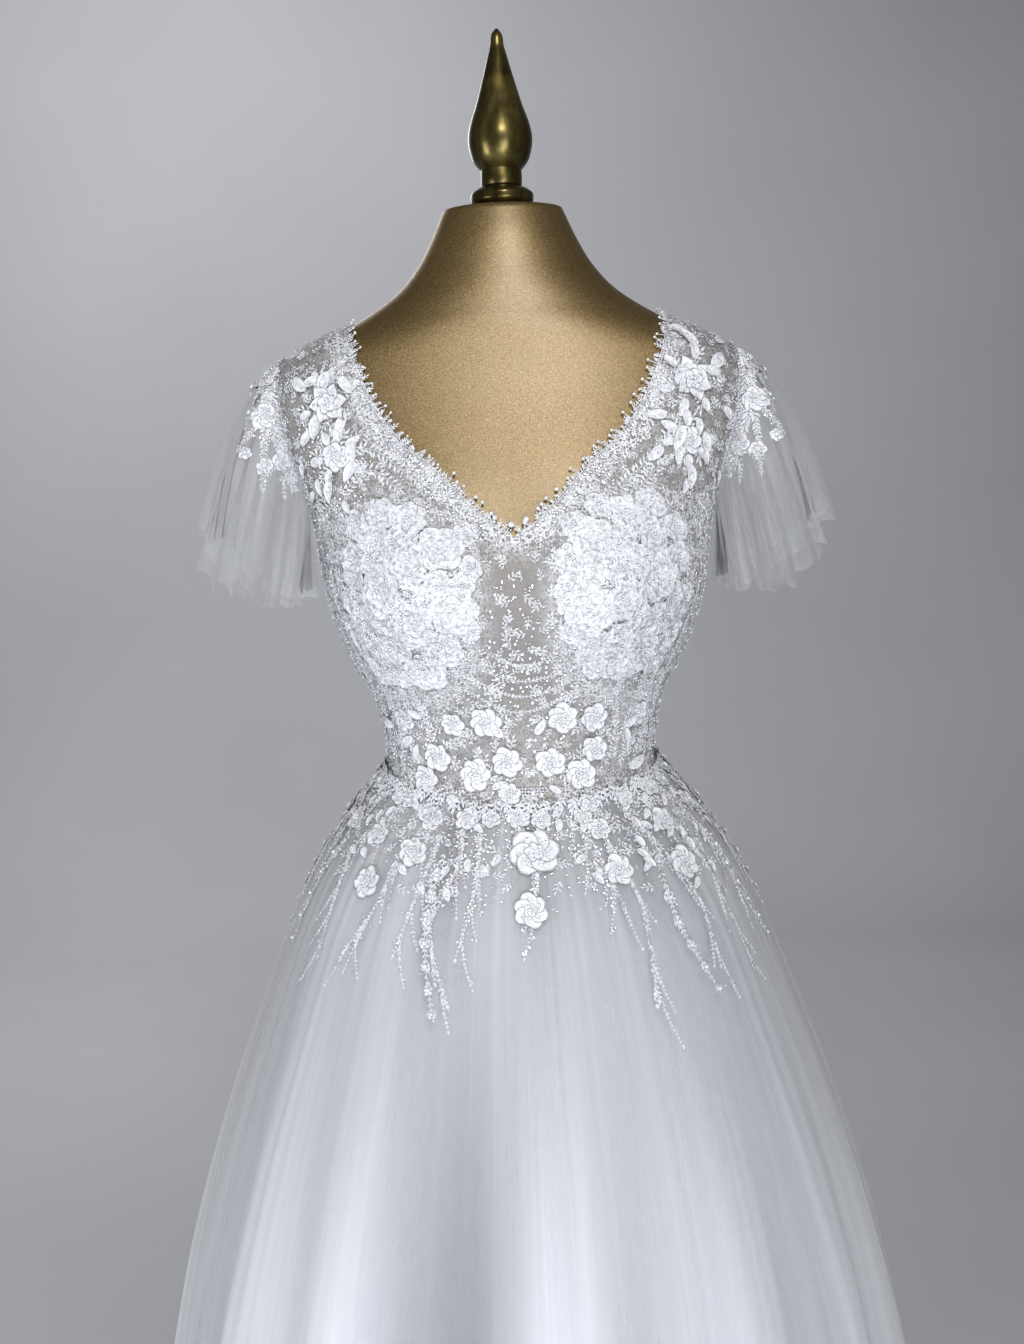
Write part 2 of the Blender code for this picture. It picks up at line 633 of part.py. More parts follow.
def make_sleeve(name, side):
    around, down = np.meshgrid(
        np.arange(SLEEVE_SIDES) * 2 * pi / SLEEVE_SIDES,
        np.linspace(0, 1, SLEEVE_STEPS + 1),
    )
    middle = sleeve_points(around, down, side)
    small = STEP_ALONG
    across = sleeve_points(around + small, down, side) - sleeve_points(around - small, down, side)
    along = sleeve_points(around, down + small, side) - sleeve_points(around, down - small, side)
    out = unit(np.cross(across, along)) * SLEEVE_THICK / 2
    faces = grid_faces(SLEEVE_STEPS + 1, SLEEVE_SIDES, wrap=True)
    if (out[0, 0] * (side, 0, 0)).sum() < 0:
        out = -out
    wall(name, middle - out, middle + out, faces, "tulle")


def fold_wave(turn):
    """The gathers around the skirt, uneven in spacing and depth, from -1 to 1."""
    drift = 0.9 * np.sin(2 * turn) + 0.5 * np.sin(6 * turn)
    depth = 0.72 + 0.28 * np.cos(4 * turn)
    return depth * np.cos(FOLDS * turn + drift)


def swing_way(turn):
    """Which way the skirt swings out: less at the front and back than at the sides."""
    front = body_size("front", SIDE_WAIST - WAIST_DIP)
    waist = np.where(np.cos(turn) > 0, front, body_size("back", SIDE_WAIST))
    deep = (HEM_DEPTH - waist) / (SKIRT_ROWS[0][1] - SKIRT_ROWS[-1][1])
    return np.stack([np.sin(turn), -deep * np.cos(turn), 0 * turn], axis=-1)


def skirt_points(name, turn, down, extra):
    """A skirt layer: it leaves the waist seam on the body and swings out to its hem."""
    layer = LAYERS[name]
    start = seam_height(turn) - SEAM
    top = on_body(turn, start, layer["lift"] + extra)
    side = SIDE_WAIST * (1 - down) + SKIRT_ROWS[0][0] * down
    swing = smooth_table(SKIRT_ROWS, 1, side) - SKIRT_ROWS[-1][1]
    fold = fold_wave(turn) * FOLD_DEEP * layer["fold"] * ease(0.10, 0.75, down)
    points = top + swing_way(turn) * (layer["share"] * swing + fold)[..., None]
    points[..., 2] = top[..., 2] * (1 - down) + layer["hem"] * down
    return points


def make_skirt_panel(name, layer, start, end):
    """A panel of a skirt layer between two seams, or the whole tube if it goes all the way round."""
    tube = end - start == 360
    sides = LAYERS[layer]["sides"] * (end - start) // 360
    turn, down = np.meshgrid(np.radians(np.linspace(start, end, sides + 1)), SKIRT_STEPS)
    if tube:
        turn, down = turn[:, :-1], down[:, :-1]
    else:
        around = np.hypot(*np.moveaxis(skirt_points(layer, turn, down, 0 * turn)[..., :2], -1, 0))
        turn[:, 0] += SEAM / 2 / around[:, 0]
        turn[:, -1] -= SEAM / 2 / around[:, -1]
    inner = skirt_points(layer, turn, down, 0 * turn)
    outer = skirt_points(layer, turn, down, LAYERS[layer]["thick"] + 0 * turn)
    material = "lining" if layer == "skirt_lining" else "tulle"
    wall(name, inner, outer, grid_faces(len(SKIRT_STEPS), turn.shape[1], wrap=tube), material)


def down_at(turn, height):
    """How far down the outer tulle a height lies, from 0 at the seam to 1 at the hem."""
    start = seam_height(turn) - SEAM
    return (start - height) / (start - OUTER["hem"])


def on_skirt(turn, height, lift):
    """A point lifted off the outer tulle, on the straight between its two nearest rings."""
    steps = np.array(SKIRT_STEPS)
    down = down_at(turn, height)
    low = np.clip(np.searchsorted(steps, down) - 1, 0, len(steps) - 2)
    t = ((down - steps[low]) / (steps[low + 1] - steps[low]))[..., None]
    thick = OUTER["thick"] + 0 * turn
    above = skirt_points("skirt_tulle_outer", turn, steps[low], thick)
    below = skirt_points("skirt_tulle_outer", turn, steps[low + 1], thick)
    out = unit(swing_way(turn) + (0, 0, 0.35))
    return above * (1 - t) + below * t + out * np.asarray(lift)[..., None]


def skirt_turn(across, height):
    """The turn on the skirt's front at which its outer tulle is this far across."""
    turns = np.radians(np.linspace(-90, 90, 361))
    x = on_skirt(turns, height + 0 * turns, 0 * turns)[:, 0]
    return float(np.interp(across, x, turns))


def make_flower(name, on, across, height, radius, spin):
    """A five-petalled flower, thicker at its heart, that follows the cloth under it."""
    corners = PETALS * 3
    rim = np.arange(corners) * 2 * pi / corners
    notch = np.where(np.arange(corners) % 3 == 0, PETAL_NOTCH, 1.0)
    heart = np.arange(PETALS) * 2 * pi / PETALS
    shares = np.r_[0, HEART_SHARE + 0 * heart, notch]
    angles = np.r_[0, heart, rim] + radians(spin)
    thick = np.r_[HEART_THICK, PETAL_THICK + 0 * heart, PETAL_THICK + 0 * rim]
    faces = [(0, 1 + j, 1 + (j + 1) % PETALS) for j in range(PETALS)]
    for j in range(PETALS):
        near, ahead = 1 + j, 1 + (j + 1) % PETALS
        ring = [1 + PETALS + (3 * j + k) % corners for k in range(4)]
        faces += [(near, ring[0], ring[1]), (near, ring[1], ring[2])]
        faces += [(near, ring[2], ahead), (ahead, ring[2], ring[3])]
    if on != "skirt":
        middle = turn_at(across, height)
        turn, heights = local_disc(middle, height, shares, angles, radius, radius)
        low = net_lift(turn, heights) + NET_THICK + FLOWER_CLEAR[on]
        inner, outer = on_body(turn, heights, low), on_body(turn, heights, low + thick)
    else:
        middle = skirt_turn(across, height)
        around = np.hypot(*on_skirt(np.array(middle), np.array(height), np.array(0.0))[:2])
        turn = middle + radius * shares * np.sin(angles) / around
        heights = height + SKIRT_SLOPE * radius * shares * np.cos(angles)
        low = FLOWER_CLEAR[on] + 0 * turn
        inner, outer = on_skirt(turn, heights, low), on_skirt(turn, heights, low + thick)
    wall(name, inner, outer, faces, "applique")


def make_spray(name, top_turn, top_height, foot_turn, foot_height):
    """A hanging lace spray: a tapering strip with a leafy, stepped outline."""
    t = np.linspace(0, 1, SPRAY_STEPS + 1)
    leaf = np.where(np.arange(SPRAY_STEPS + 1) % 2 == 0, SPRAY_NOTCH, 1.0)
    half = SPRAY_WIDE / 2 * leaf * (1 - SPRAY_TAPER * t**1.5)
    turn = radians(top_turn) * (1 - t) + radians(foot_turn) * t
    height = top_height * (1 - t) + foot_height * t
    around = np.hypot(*on_skirt(turn, height, 0 * turn)[:, :2].T)
    turns = turn[:, None] + np.array([-1, 0, 1])[None, :] * (half / around)[:, None]
    heights = height[:, None] + 0 * turns
    low = SPRAY_CLEAR + 0 * turns
    inner, outer = on_skirt(turns, heights, low), on_skirt(turns, heights, low + TRIM_THICK)
    wall(name, inner, outer, grid_faces(SPRAY_STEPS + 1, 3), "applique")


clear_scene()
collection = new_collection("wedding_dress_on_form")
materials = {name: new_material(name) for name in MATERIALS}
make_torso()
make_stand()
make_front()
make_backs()
for label, side in (("left", -1), ("right", 1)):
    make_cup(f"cup_{label}", side)
    make_bone(f"bone_{label}", side)
    make_sleeve(f"sleeve_{label}", side)
    front = half_panel(FRONT_ROWS, FRONT_STRIPS, back=False)
    make_edging(f"edging_front_{label}", *front, FRONT_PICOTS, side)
    back = half_panel(BACK_ROWS, BACK_STRIPS, back=True)
    make_edging(f"edging_back_{label}", *back, BACK_PICOTS, side)
for row in PANELS:
    make_skirt_panel(*row)
for row in FLOWER_ROWS:
    make_flower(*row)
for row in SPRAY_ROWS:
    make_spray(*row)
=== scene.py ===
# A wedding dress on a dress form: net bodice with raised lace, flutter sleeves, gathered tulle skirt.
# Metres, +Z up, and the front faces -Y. A place on the body or the skirt is a turn and a height:
# turn 0 is the centre front, 90 degrees is the side at +X, 180 degrees is the centre back.
# The long tables are in millimetres and degrees, and are divided where they are read.

from math import pi, radians

import bpy
import numpy as np
from mathutils import Matrix


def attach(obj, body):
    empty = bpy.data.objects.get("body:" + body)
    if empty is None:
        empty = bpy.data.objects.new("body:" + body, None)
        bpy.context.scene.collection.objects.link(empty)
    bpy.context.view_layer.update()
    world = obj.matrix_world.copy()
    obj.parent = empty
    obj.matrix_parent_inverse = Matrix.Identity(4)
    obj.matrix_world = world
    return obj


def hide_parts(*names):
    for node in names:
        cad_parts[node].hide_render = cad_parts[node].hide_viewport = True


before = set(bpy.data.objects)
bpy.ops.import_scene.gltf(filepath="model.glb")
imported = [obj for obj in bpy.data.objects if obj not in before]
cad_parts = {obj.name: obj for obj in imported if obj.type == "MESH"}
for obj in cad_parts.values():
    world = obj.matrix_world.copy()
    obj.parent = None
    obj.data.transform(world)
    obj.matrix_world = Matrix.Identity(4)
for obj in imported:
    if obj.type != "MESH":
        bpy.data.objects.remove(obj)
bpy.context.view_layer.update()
chance = np.random.default_rng(28)
sides = {"left": -1, "right": 1}
print("frame loaded:", len(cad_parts), "nodes")


# Camera, light and backdrop

camera = {"place": (-0.006, -1.4, 1.311), "tilt": 7.4, "roll": -2.0, "focal": 1500, "tall": 1344}
studio = {
    "world": (0.8, 0.82, 0.86), "worldPower": 0.08,
    "backdrop": (0.58, 0.585, 0.61), "floorY": -4.0, "wallY": 3.6, "cove": 0.9, "wallTop": 5.0, "half": 5.0,
    "lights": (  # name, place, aim, size, power, colour
        ("key", (0.26, -2.1, 2.65), (0.0, 0.0, 1.3), 0.45, 33, (1.0, 0.99, 0.985)),
        ("fill", (0.55, -2.2, 1.0), (0.0, 0.0, 0.98), 0.8, 15, (0.98, 0.985, 1.0)),
        ("low", (0.1, -2.3, 0.6), (0.0, 0.0, 0.38), 0.9, 17, (0.88, 0.93, 1.0)),
        ("left", (-2.2, -1.4, 0.7), (-0.25, 0.0, 0.3), 0.9, 22, (0.95, 0.97, 1.0)),
        ("back", (-1.1, 3.0, 2.3), (0.0, 0.0, 0.9), 1.2, 14, (0.97, 0.98, 1.0)),
        ("wall", (-1.0, 1.4, 2.9), (-1.2, 3.6, 1.5), 1.2, 33, (1.0, 1.0, 1.0)),
    ),
}


bpy.context.scene.view_settings.view_transform = "Standard"


def setCamera():
    seen = bpy.data.objects.new("camera", bpy.data.cameras.new("camera"))
    bpy.context.scene.collection.objects.link(seen)
    seen.data.lens = camera["focal"] / camera["tall"] * seen.data.sensor_width
    turned = Matrix.Rotation(radians(90 - camera["tilt"]), 4, "X")
    turned = turned @ Matrix.Rotation(radians(camera["roll"]), 4, "Z")
    seen.matrix_world = Matrix.Translation(camera["place"]) @ turned
    bpy.context.scene.camera = seen


def setLights():
    world = bpy.data.worlds.new("studio")
    world.use_nodes = True
    sky = world.node_tree.nodes["Background"].inputs
    sky["Color"].default_value = (*studio["world"], 1)
    sky["Strength"].default_value = studio["worldPower"]
    bpy.context.scene.world = world
    for name, place, aim, size, power, colour in studio["lights"]:
        light = bpy.data.objects.new(name, bpy.data.lights.new(name, "AREA"))
        light.data.shape = "DISK"
        light.data.size = size
        light.data.energy = power
        light.data.color = colour
        away = np.array(place) - aim
        across = np.cross((0, 0, 1), away)
        axes = np.stack([unit(across), unit(np.cross(away, across)), unit(away)], axis=1)
        light.matrix_world = Matrix.Translation(place) @ Matrix(axes.tolist()).to_4x4()
        light.visible_camera = False
        bpy.context.scene.collection.objects.link(light)


# Mesh and material helpers

def unit(vectors):
    return vectors / np.maximum(np.linalg.norm(vectors, axis=-1, keepdims=True), 1e-12)


def spread(*values):
    # Numbers and arrays brought to one shape.
    return np.broadcast_arrays(*(np.asarray(value, float) for value in values))


def gridFaces(rows, columns, wrap=False):
    # Two triangles to each square of a grid; wrap joins the last column to the first.
    i, j = np.meshgrid(np.arange(rows - 1), np.arange(columns if wrap else columns - 1), indexing="ij")
    k = (j + 1) % columns
    a, b = i * columns + j, i * columns + k
    c, d = b + columns, a + columns
    halves = (np.stack([a, b, c], axis=-1), np.stack([a, c, d], axis=-1))
    return np.concatenate([half.reshape(-1, 3) for half in halves])


def copiedFaces(faces, count, size):
    # The same faces for each of count copies, each with its own run of size points.
    return (faces[None] + (np.arange(count) * size)[:, None, None]).reshape(-1, 3)


def makePiece(name, points, faces, finish, slotName, nodes=(), **fields):
    # One smooth object from arrays of points and faces, with a value at each point for each field.
    mesh = bpy.data.meshes.new(name)
    points = np.asarray(points, float).reshape(-1, 3)
    mesh.from_pydata(points, [], np.asarray(faces))
    for key, values in fields.items():
        values = np.asarray(values, np.float32)
        vector = values.shape[-1] == 3 and values.size == points.size
        field = mesh.attributes.new(key, "FLOAT_VECTOR" if vector else "FLOAT", "POINT")
        field.data.foreach_set("vector" if vector else "value", values.ravel())
    mesh.materials.append(finishes[finish])
    mesh.shade_smooth()
    made = bpy.data.objects.new(name, mesh)
    bpy.context.scene.collection.objects.link(made)
    if slotName:
        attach(made, "root")
    if nodes:
        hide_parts(*nodes)
    return made


class Finish:
    # A material whose nodes are added one at a time. A socket takes a link, a colour or a number.
    def __init__(self, name, colour, roughness, **sockets):
        self.material = bpy.data.materials.new(name)
        self.material.use_nodes = True
        self.tree = self.material.node_tree
        self.shader = self.tree.nodes["Principled BSDF"].inputs
        self.done(Base_Color=colour, Roughness=roughness, **sockets)
        self.coords = self.tree.nodes.new("ShaderNodeTexCoord").outputs["Object"]

    def set(self, inputs, values):
        for key, value in values.items():
            if isinstance(value, bpy.types.NodeSocket):
                self.tree.links.new(value, inputs[key])
            else:
                inputs[key].default_value = (*value, 1) if inputs[key].type == "RGBA" else value

    def done(self, **sockets):
        # Sets or links the shader's sockets by their names.
        self.set(self.shader, {key.replace("_", " "): value for key, value in sockets.items()})
        return self.material

    def node(self, kind, inputs, **settings):
        made = self.tree.nodes.new("ShaderNode" + kind)
        for key, value in settings.items():
            setattr(made, key, value)
        self.set(made.inputs, inputs)
        return made.outputs

    def noise(self, scale, detail=2, source=None, rough=0.5, output="Fac"):
        inputs = {"Scale": scale, "Detail": detail, "Roughness": rough, "Vector": source or self.coords}
        return self.node("TexNoise", inputs)[output]

    def upGrain(self, scale, detail, stretch, rough=0.5):
        # Noise drawn out along the height.
        source = self.node("Mapping", {"Scale": (1, 1, stretch), "Vector": self.coords})["Vector"]
        return self.noise(scale, detail, source, rough)

    def field(self, name, kind="Fac"):
        return self.node("Attribute", {}, attribute_name=name)[kind]

    def ramp(self, value, *stops):
        # A colour for each stop of the value: (place, (red, green, blue)) or (place, grey).
        made = self.tree.nodes.new("ShaderNodeValToRGB")
        self.tree.links.new(value, made.inputs["Fac"])
        line = made.color_ramp
        while len(line.elements) < len(stops):
            line.elements.new(0.5)
        for element, (place, shade) in zip(line.elements, stops):
            element.position = place
            element.color = (*shade, 1) if isinstance(shade, tuple) else (shade, shade, shade, 1)
        return made.outputs["Color"]

    def maths(self, way, first, second, clamp=False):
        return self.node("Math", {0: first, 1: second}, operation=way, use_clamp=clamp)["Value"]

    def times(self, first, second):
        return self.maths("MULTIPLY", first, second)

    def mixed(self, share, first, second, way="MIX"):
        return self.node("Mix", {0: share, 6: first, 7: second}, data_type="RGBA", blend_type=way)[2]

    def bump(self, height, distance, strength):
        return self.node("Bump", {"Height": height, "Distance": distance, "Strength": strength})["Normal"]


def goldFabric():
    # Stretch fabric with a fine metallic grain: lighter and darker threads over a slightly mottled gold.
    made = Finish("gold stretch fabric", (0.34, 0.24, 0.12), 0.44, Metallic=0.7, IOR=1.5,
                  Specular_Tint=(0.72, 0.52, 0.3), Coat_Weight=0.62, Coat_Roughness=0.45, Coat_IOR=1.9)
    grain = made.noise(860, 3, rough=0.7)
    thread = made.ramp(grain, (0.34, (0.12, 0.062, 0.008)), (0.5, (0.212, 0.134, 0.032)),
                       (0.66, (0.36, 0.264, 0.12)))
    mottle = made.ramp(made.noise(9), (0.35, 0.6), (0.65, 1.0))
    return made.done(Base_Color=made.mixed(0.25, thread, mottle, "MULTIPLY"),
                     Roughness=made.ramp(grain, (0.3, 0.4), (0.7, 0.48)),
                     Normal=made.bump(grain, 0.0006, 0.5))


def agedBrass():
    # Worn brass leaf over turned wood: the grain runs up it, dark in the hollows.
    made = Finish("aged brass leaf", (0.2, 0.15, 0.05), 0.3, Metallic=0.8)
    grain = made.upGrain(60, 4, 0.09, 0.6)
    wear = made.noise(35, 3)
    base = made.ramp(grain, (0.34, (0.03, 0.024, 0.006)), (0.52, (0.095, 0.075, 0.022)),
                     (0.68, (0.24, 0.19, 0.065)))
    worn = made.ramp(wear, (0.5, 0.0), (0.74, 0.45))
    return made.done(Base_Color=made.mixed(worn, base, (0.36, 0.28, 0.08)),
                     Roughness=made.ramp(wear, (0.3, 0.26), (0.7, 0.36)),
                     Normal=made.bump(grain, 0.0006, 0.35))


def standMetal():
    # Powder-coated steel with a fine orange peel.
    made = Finish("black powder coat", (0.035, 0.035, 0.038), 0.42, Metallic=0.2)
    peel = made.noise(420)
    return made.done(Base_Color=made.ramp(peel, (0.35, 0.026), (0.65, 0.046)),
                     Normal=made.bump(peel, 0.0003, 0.3))


def sheerNet():
    # Fine net whose cover is the veil field. Where the lace field is high it carries stitched threads
    # and bright sequins, with small near-black spots among them: painted shade for the gaps.
    made = Finish("embroidered net", (0.35, 0.34, 0.335), 0.8, Sheen_Weight=0.2, Sheen_Roughness=0.5)
    shift = made.node("VectorMath", {"Scale": 0.012, 0: made.noise(90, output="Color")}, operation="SCALE")
    warped = made.node("VectorMath", {0: made.coords, 1: shift["Vector"]}, operation="ADD")["Vector"]
    cells = made.node("TexVoronoi", {"Scale": 250.0, "Vector": warped}, feature="DISTANCE_TO_EDGE")
    line = made.ramp(cells["Distance"], (0.07, 1.0), (0.2, 0.0))
    patch = made.ramp(made.noise(120, 3, rough=0.65), (0.4, 0.0), (0.5, 1.0))
    dots = made.node("TexVoronoi", {"Scale": 400.0, "Vector": made.coords})
    lot = made.node("SeparateColor", {"Color": dots["Color"]})["Red"]
    disc = made.ramp(dots["Distance"], (0.3, 1.0), (0.46, 0.0))
    lace = made.field("lace")
    bright = made.times(disc, made.ramp(lot, (0.5, 0.0), (0.54, 1.0)))
    thread = made.times(made.maths("MAXIMUM", made.times(line, patch), bright), lace)
    # Painted shade: near-black spots stand in for the shadow seen through gaps among the stitches.
    gap = made.times(made.times(disc, made.ramp(lot, (0.26, 0.75), (0.3, 0.0))), lace)
    mesh = made.ramp(made.noise(700, 1), (0.4, 0.86), (0.6, 1.0))
    cover = made.times(made.field("veil"), mesh)
    stitched = made.mixed(thread, (0.38, 0.372, 0.37), (0.84, 0.85, 0.88))
    return made.done(Base_Color=made.mixed(gap, stitched, (0.1, 0.09, 0.08)),
                     Alpha=made.maths("MAXIMUM", cover, thread), Normal=made.bump(thread, 0.0005, 0.5))


def laceThread():
    # Stitched organza. The edge field is 0 on threads and grows to 1 at a petal's rim: a petal is
    # speckled, with a bright line of stitches inside a thin rim darkened with painted shade, for the
    # shadow where it lies over the net and the next petal.
    made = Finish("stitched organza", (0.84, 0.86, 0.9), 0.6, Sheen_Weight=0.2, Sheen_Roughness=0.4)
    edge = made.field("edge")
    white = (0.88, 0.89, 0.92)
    stitch = made.node("TexVoronoi", {"Scale": 520.0, "Vector": made.coords})["Distance"]
    thread = made.ramp(stitch, (0.1, white), (0.8, (0.6, 0.61, 0.64)))
    petal = made.ramp(made.noise(340, 3, rough=0.75), (0.37, (0.46, 0.47, 0.5)),
                      (0.48, (0.72, 0.73, 0.765)), (0.6, white))
    stitched = made.mixed(made.ramp(edge, (0.66, 0.0), (0.8, 0.85)), petal, white)
    colour = made.mixed(made.ramp(edge, (0.04, 0.0), (0.2, 1.0)), thread, stitched)
    # Painted shade: the rim's colour is darkened to stand in for the shadow at a raised petal's edge.
    rim = made.ramp(edge, (0.88, 1.0), (1.0, 0.3))
    return made.done(Base_Color=made.mixed(1.0, colour, rim, "MULTIPLY"),
                     Normal=made.bump(stitch, 0.0006, 0.7))


def sequin():
    # Clear sequins with a faint play of colour from one to the next.
    made = Finish("iridescent sequins", (0.85, 0.87, 0.92), 0.14, Metallic=0.55)
    return made.done(Base_Color=made.ramp(made.noise(95, 1), (0.35, (0.8, 0.9, 0.98)),
                                          (0.5, (0.95, 0.95, 0.97)), (0.65, (0.97, 0.86, 0.95))))


def pearl():
    # Small white beads.
    made = Finish("white beads", (0.86, 0.88, 0.91), 0.16, Coat_Weight=0.6)
    return made.done(Base_Color=made.ramp(made.noise(80, 1), (0.4, (0.8, 0.82, 0.86)),
                                          (0.6, (0.92, 0.93, 0.95))))


def satin(name, light, dark):
    # Close-woven satin: a fine vertical grain and a soft gloss. Its colour is multiplied by a field given
    # with each piece, which on the skirt lining is painted light and shade.
    made = Finish(name, light, 0.42, Sheen_Weight=0.3, Sheen_Roughness=0.35)
    weave = made.upGrain(300, 2, 0.08)
    colour = made.ramp(weave, (0.35, dark), (0.65, light))
    return made.done(Base_Color=made.mixed(1.0, colour, made.field("tone"), "MULTIPLY"),
                     Normal=made.bump(weave, 0.0002, 0.4))


def tulle(name, light, shade, thin, thick, streak):
    # Gathered tulle: more cover where the gathers bunch and less between, in long soft streaks.
    # The gather field turns with the cloth and runs slowly down it, so the streaks follow it. Its colour
    # is multiplied by a field given with each piece, which on the skirt is painted light and shade.
    made = Finish(name, light, 0.85, Sheen_Weight=0.4, Sheen_Roughness=0.45)
    flow = made.field("gather", "Vector")
    broad = made.times(made.noise(0.55 * streak, 3, flow, 0.6), 0.72)
    both = made.maths("ADD", broad, made.times(made.noise(2.6 * streak, 3, flow, 0.7), 0.28))
    spans = {"From Min": 0.34, "From Max": 0.66, "To Min": thin, "To Max": thick, "Value": both}
    cover = made.node("MapRange", spans)["Result"]
    colour = made.ramp(both, (0.32, shade), (0.66, light))
    # The colour times the piece's field: painted light and shade on the skirt, 1 on the sleeves.
    return made.done(Base_Color=made.mixed(1.0, colour, made.field("tone"), "MULTIPLY"),
                     Alpha=made.maths("MULTIPLY", cover, made.field("cover"), True))


def palePaper(grey):
    # Matt paper with a faint cloud.
    made = Finish("pale paper", grey, 0.9)
    shades = ((0.3, tuple(np.array(grey) * 0.96)), (0.7, tuple(np.array(grey) * 1.03)))
    return made.done(Base_Color=made.ramp(made.noise(1.3, 3), *shades))


finishes = {
    "paper": palePaper(studio["backdrop"]),
    "gold": goldFabric(), "brass": agedBrass(), "metal": standMetal(), "net": sheerNet(),
    "lace": laceThread(), "sequin": sequin(), "bead": pearl(),
    "cup": satin("cup satin", (0.88, 0.89, 0.92), (0.84, 0.855, 0.885)),
    "lining": satin("skirt satin", (0.62, 0.635, 0.675), (0.56, 0.575, 0.615)),
    "skirtTulle": tulle("skirt tulle", (0.79, 0.8, 0.835), (0.6, 0.61, 0.64), 0.18, 0.5, 0.6),
    "sleeveTulle": tulle("sleeve tulle", (0.66, 0.67, 0.7), (0.4, 0.4, 0.42), 0.04, 0.25, 1.2),
}


def makeBackdrop():
    # A pale floor that curves up into a wall: its section is a floor, a quarter round and a wall.
    bend = np.linspace(0, pi / 2, 24)
    r = studio["cove"]
    y = np.r_[studio["floorY"], studio["wallY"] - r + r * np.sin(bend), studio["wallY"]]
    z = np.r_[0.0, r - r * np.cos(bend), studio["wallTop"]] - 0.0005
    x = np.linspace(-studio["half"], studio["half"], 12)
    points = np.stack(spread(x, y[:, None], z[:, None]), axis=-1)
    makePiece("backdrop", points, gridFaces(len(y), len(x)), "paper", None)


setCamera()
setLights()
makeBackdrop()
print("camera, light and backdrop set")


# Surfaces that everything lies on, as in the solids

bodyColumns = ("halfWidth", "front", "back", "squareness")
bodyRows = (  # height, half width, depth in front and behind, all in mm, and squareness
    (800, 150, 100, 105, 2.2), (812, 159, 107, 113, 2.2), (860, 166, 114, 122, 2.2),
    (920, 163, 110, 122, 2.2), (980, 146, 101, 112, 2.15), (1020, 130, 93, 100, 2.1),
    (1050, 121.5, 88, 92, 2.1), (1080, 124.5, 90, 92, 2.1), (1118, 133, 96, 96, 2.15),
    (1150, 148, 100, 100, 2.2), (1180, 160, 104, 104, 2.25), (1210, 170.5, 106, 107, 2.3),
    (1240, 175, 105, 109, 2.35), (1275, 180, 101, 110, 2.4), (1315, 192, 94, 109, 2.45),
    (1353, 205, 87, 106, 2.5), (1385, 210, 81, 101, 2.4), (1408, 207, 76, 95, 2.3),
    (1424, 196, 73, 91, 2.25), (1436, 175, 71, 87, 2.2), (1448, 148, 69, 82, 2.15),
    (1460, 126, 66, 76, 2.1), (1477, 101, 63, 70, 2.05), (1500, 80, 58, 63, 2), (1523, 66.5, 54, 58, 2),
    (1550, 54, 46, 49, 2),
)
bust = {"height": 1.212, "across": 0.083, "deep": 0.029, "wide": 0.045, "tall": 0.045}
cups = {"across": 0.094, "height": 1.203, "halfWide": 0.064, "halfTall": 0.086}
lifts = {"net": 0.0022, "overCup": 0.0033, "netThick": 0.0012, "cup": 0.0012, "bone": 0.0013}
waist = {"side": 1.045, "dip": 0.025, "seam": 0.0003}


class Table:
    # Rows of a key and its values, read as smooth curves: cubic between rows, with the slopes of the
    # neighbours, and level past both ends.
    def __init__(self, rows):
        rows = np.asarray(rows, float)
        self.keys, self.values = rows[:, 0], rows[:, 1:]
        self.slopes = np.gradient(self.values, self.keys, axis=0)

    def at(self, place):
        # Every value at each place, on a last axis.
        place = np.asarray(place, float)
        low = np.clip(np.searchsorted(self.keys, place) - 1, 0, len(self.keys) - 2)
        span = (self.keys[low + 1] - self.keys[low])[..., None]
        t = np.clip((place - self.keys[low])[..., None] / span, 0, 1)
        rise = 3 * t**2 - 2 * t**3
        bend = (t**3 - 2 * t**2 + t) * self.slopes[low] + (t**3 - t**2) * self.slopes[low + 1]
        return self.values[low] * (1 - rise) + self.values[low + 1] * rise + bend * span


def ease(low, high, at):
    # 0 below low, 1 above high, and a smooth step between.
    t = np.clip((at - low) / (high - low), 0, 1)
    return t * t * (3 - 2 * t)


def bell(value, width, power=2):
    # 1 at nought, and falling to nothing past a width to each side.
    return np.exp(-((value / width) ** power))


bodyTable = Table(np.array(bodyRows) / (1000, 1000, 1000, 1000, 1))


def bodySize(name, height):
    return bodyTable.at(height)[..., bodyColumns.index(name)]


def bodyPoint(turn, height):
    # A rounded-square section at each height, with a soft mound of the bust on each side.
    sine, cosine = np.sin(turn), np.cos(turn)
    halfWidth, front, back, squareness = np.moveaxis(bodyTable.at(height), -1, 0)
    power = 2 / squareness
    depth = np.where(cosine > 0, front, back)
    x = halfWidth * np.sign(sine) * np.abs(sine) ** power
    y = -depth * np.sign(cosine) * np.abs(cosine) ** power
    rise = np.exp(-(((height - bust["height"]) / bust["tall"]) ** 2) / 2)
    mound = sum(np.exp(-(((x + s * bust["across"]) / bust["wide"]) ** 2) / 2) for s in (-1, 1))
    y = y - bust["deep"] * rise * mound * np.sqrt(np.clip(cosine, 0, 1))
    return np.stack([x, y, height + 0 * x], axis=-1)


def acrossAt(turn, height):
    return np.abs(bodyPoint(turn, height)[..., 0])


def slopes(surface, u, v, small, *rest):
    # A surface's point and its slopes with u and v, from its points a small step to each side.
    du, dv = (np.array(signs).reshape(5, *[1] * u.ndim) * size
              for signs, size in zip(((0, 1, -1, 0, 0), (0, 0, 0, 1, -1)), small))
    points = surface(u + du, v + dv, *rest)
    return points[0], (points[1] - points[2]) / (2 * small[0]), (points[3] - points[4]) / (2 * small[1])


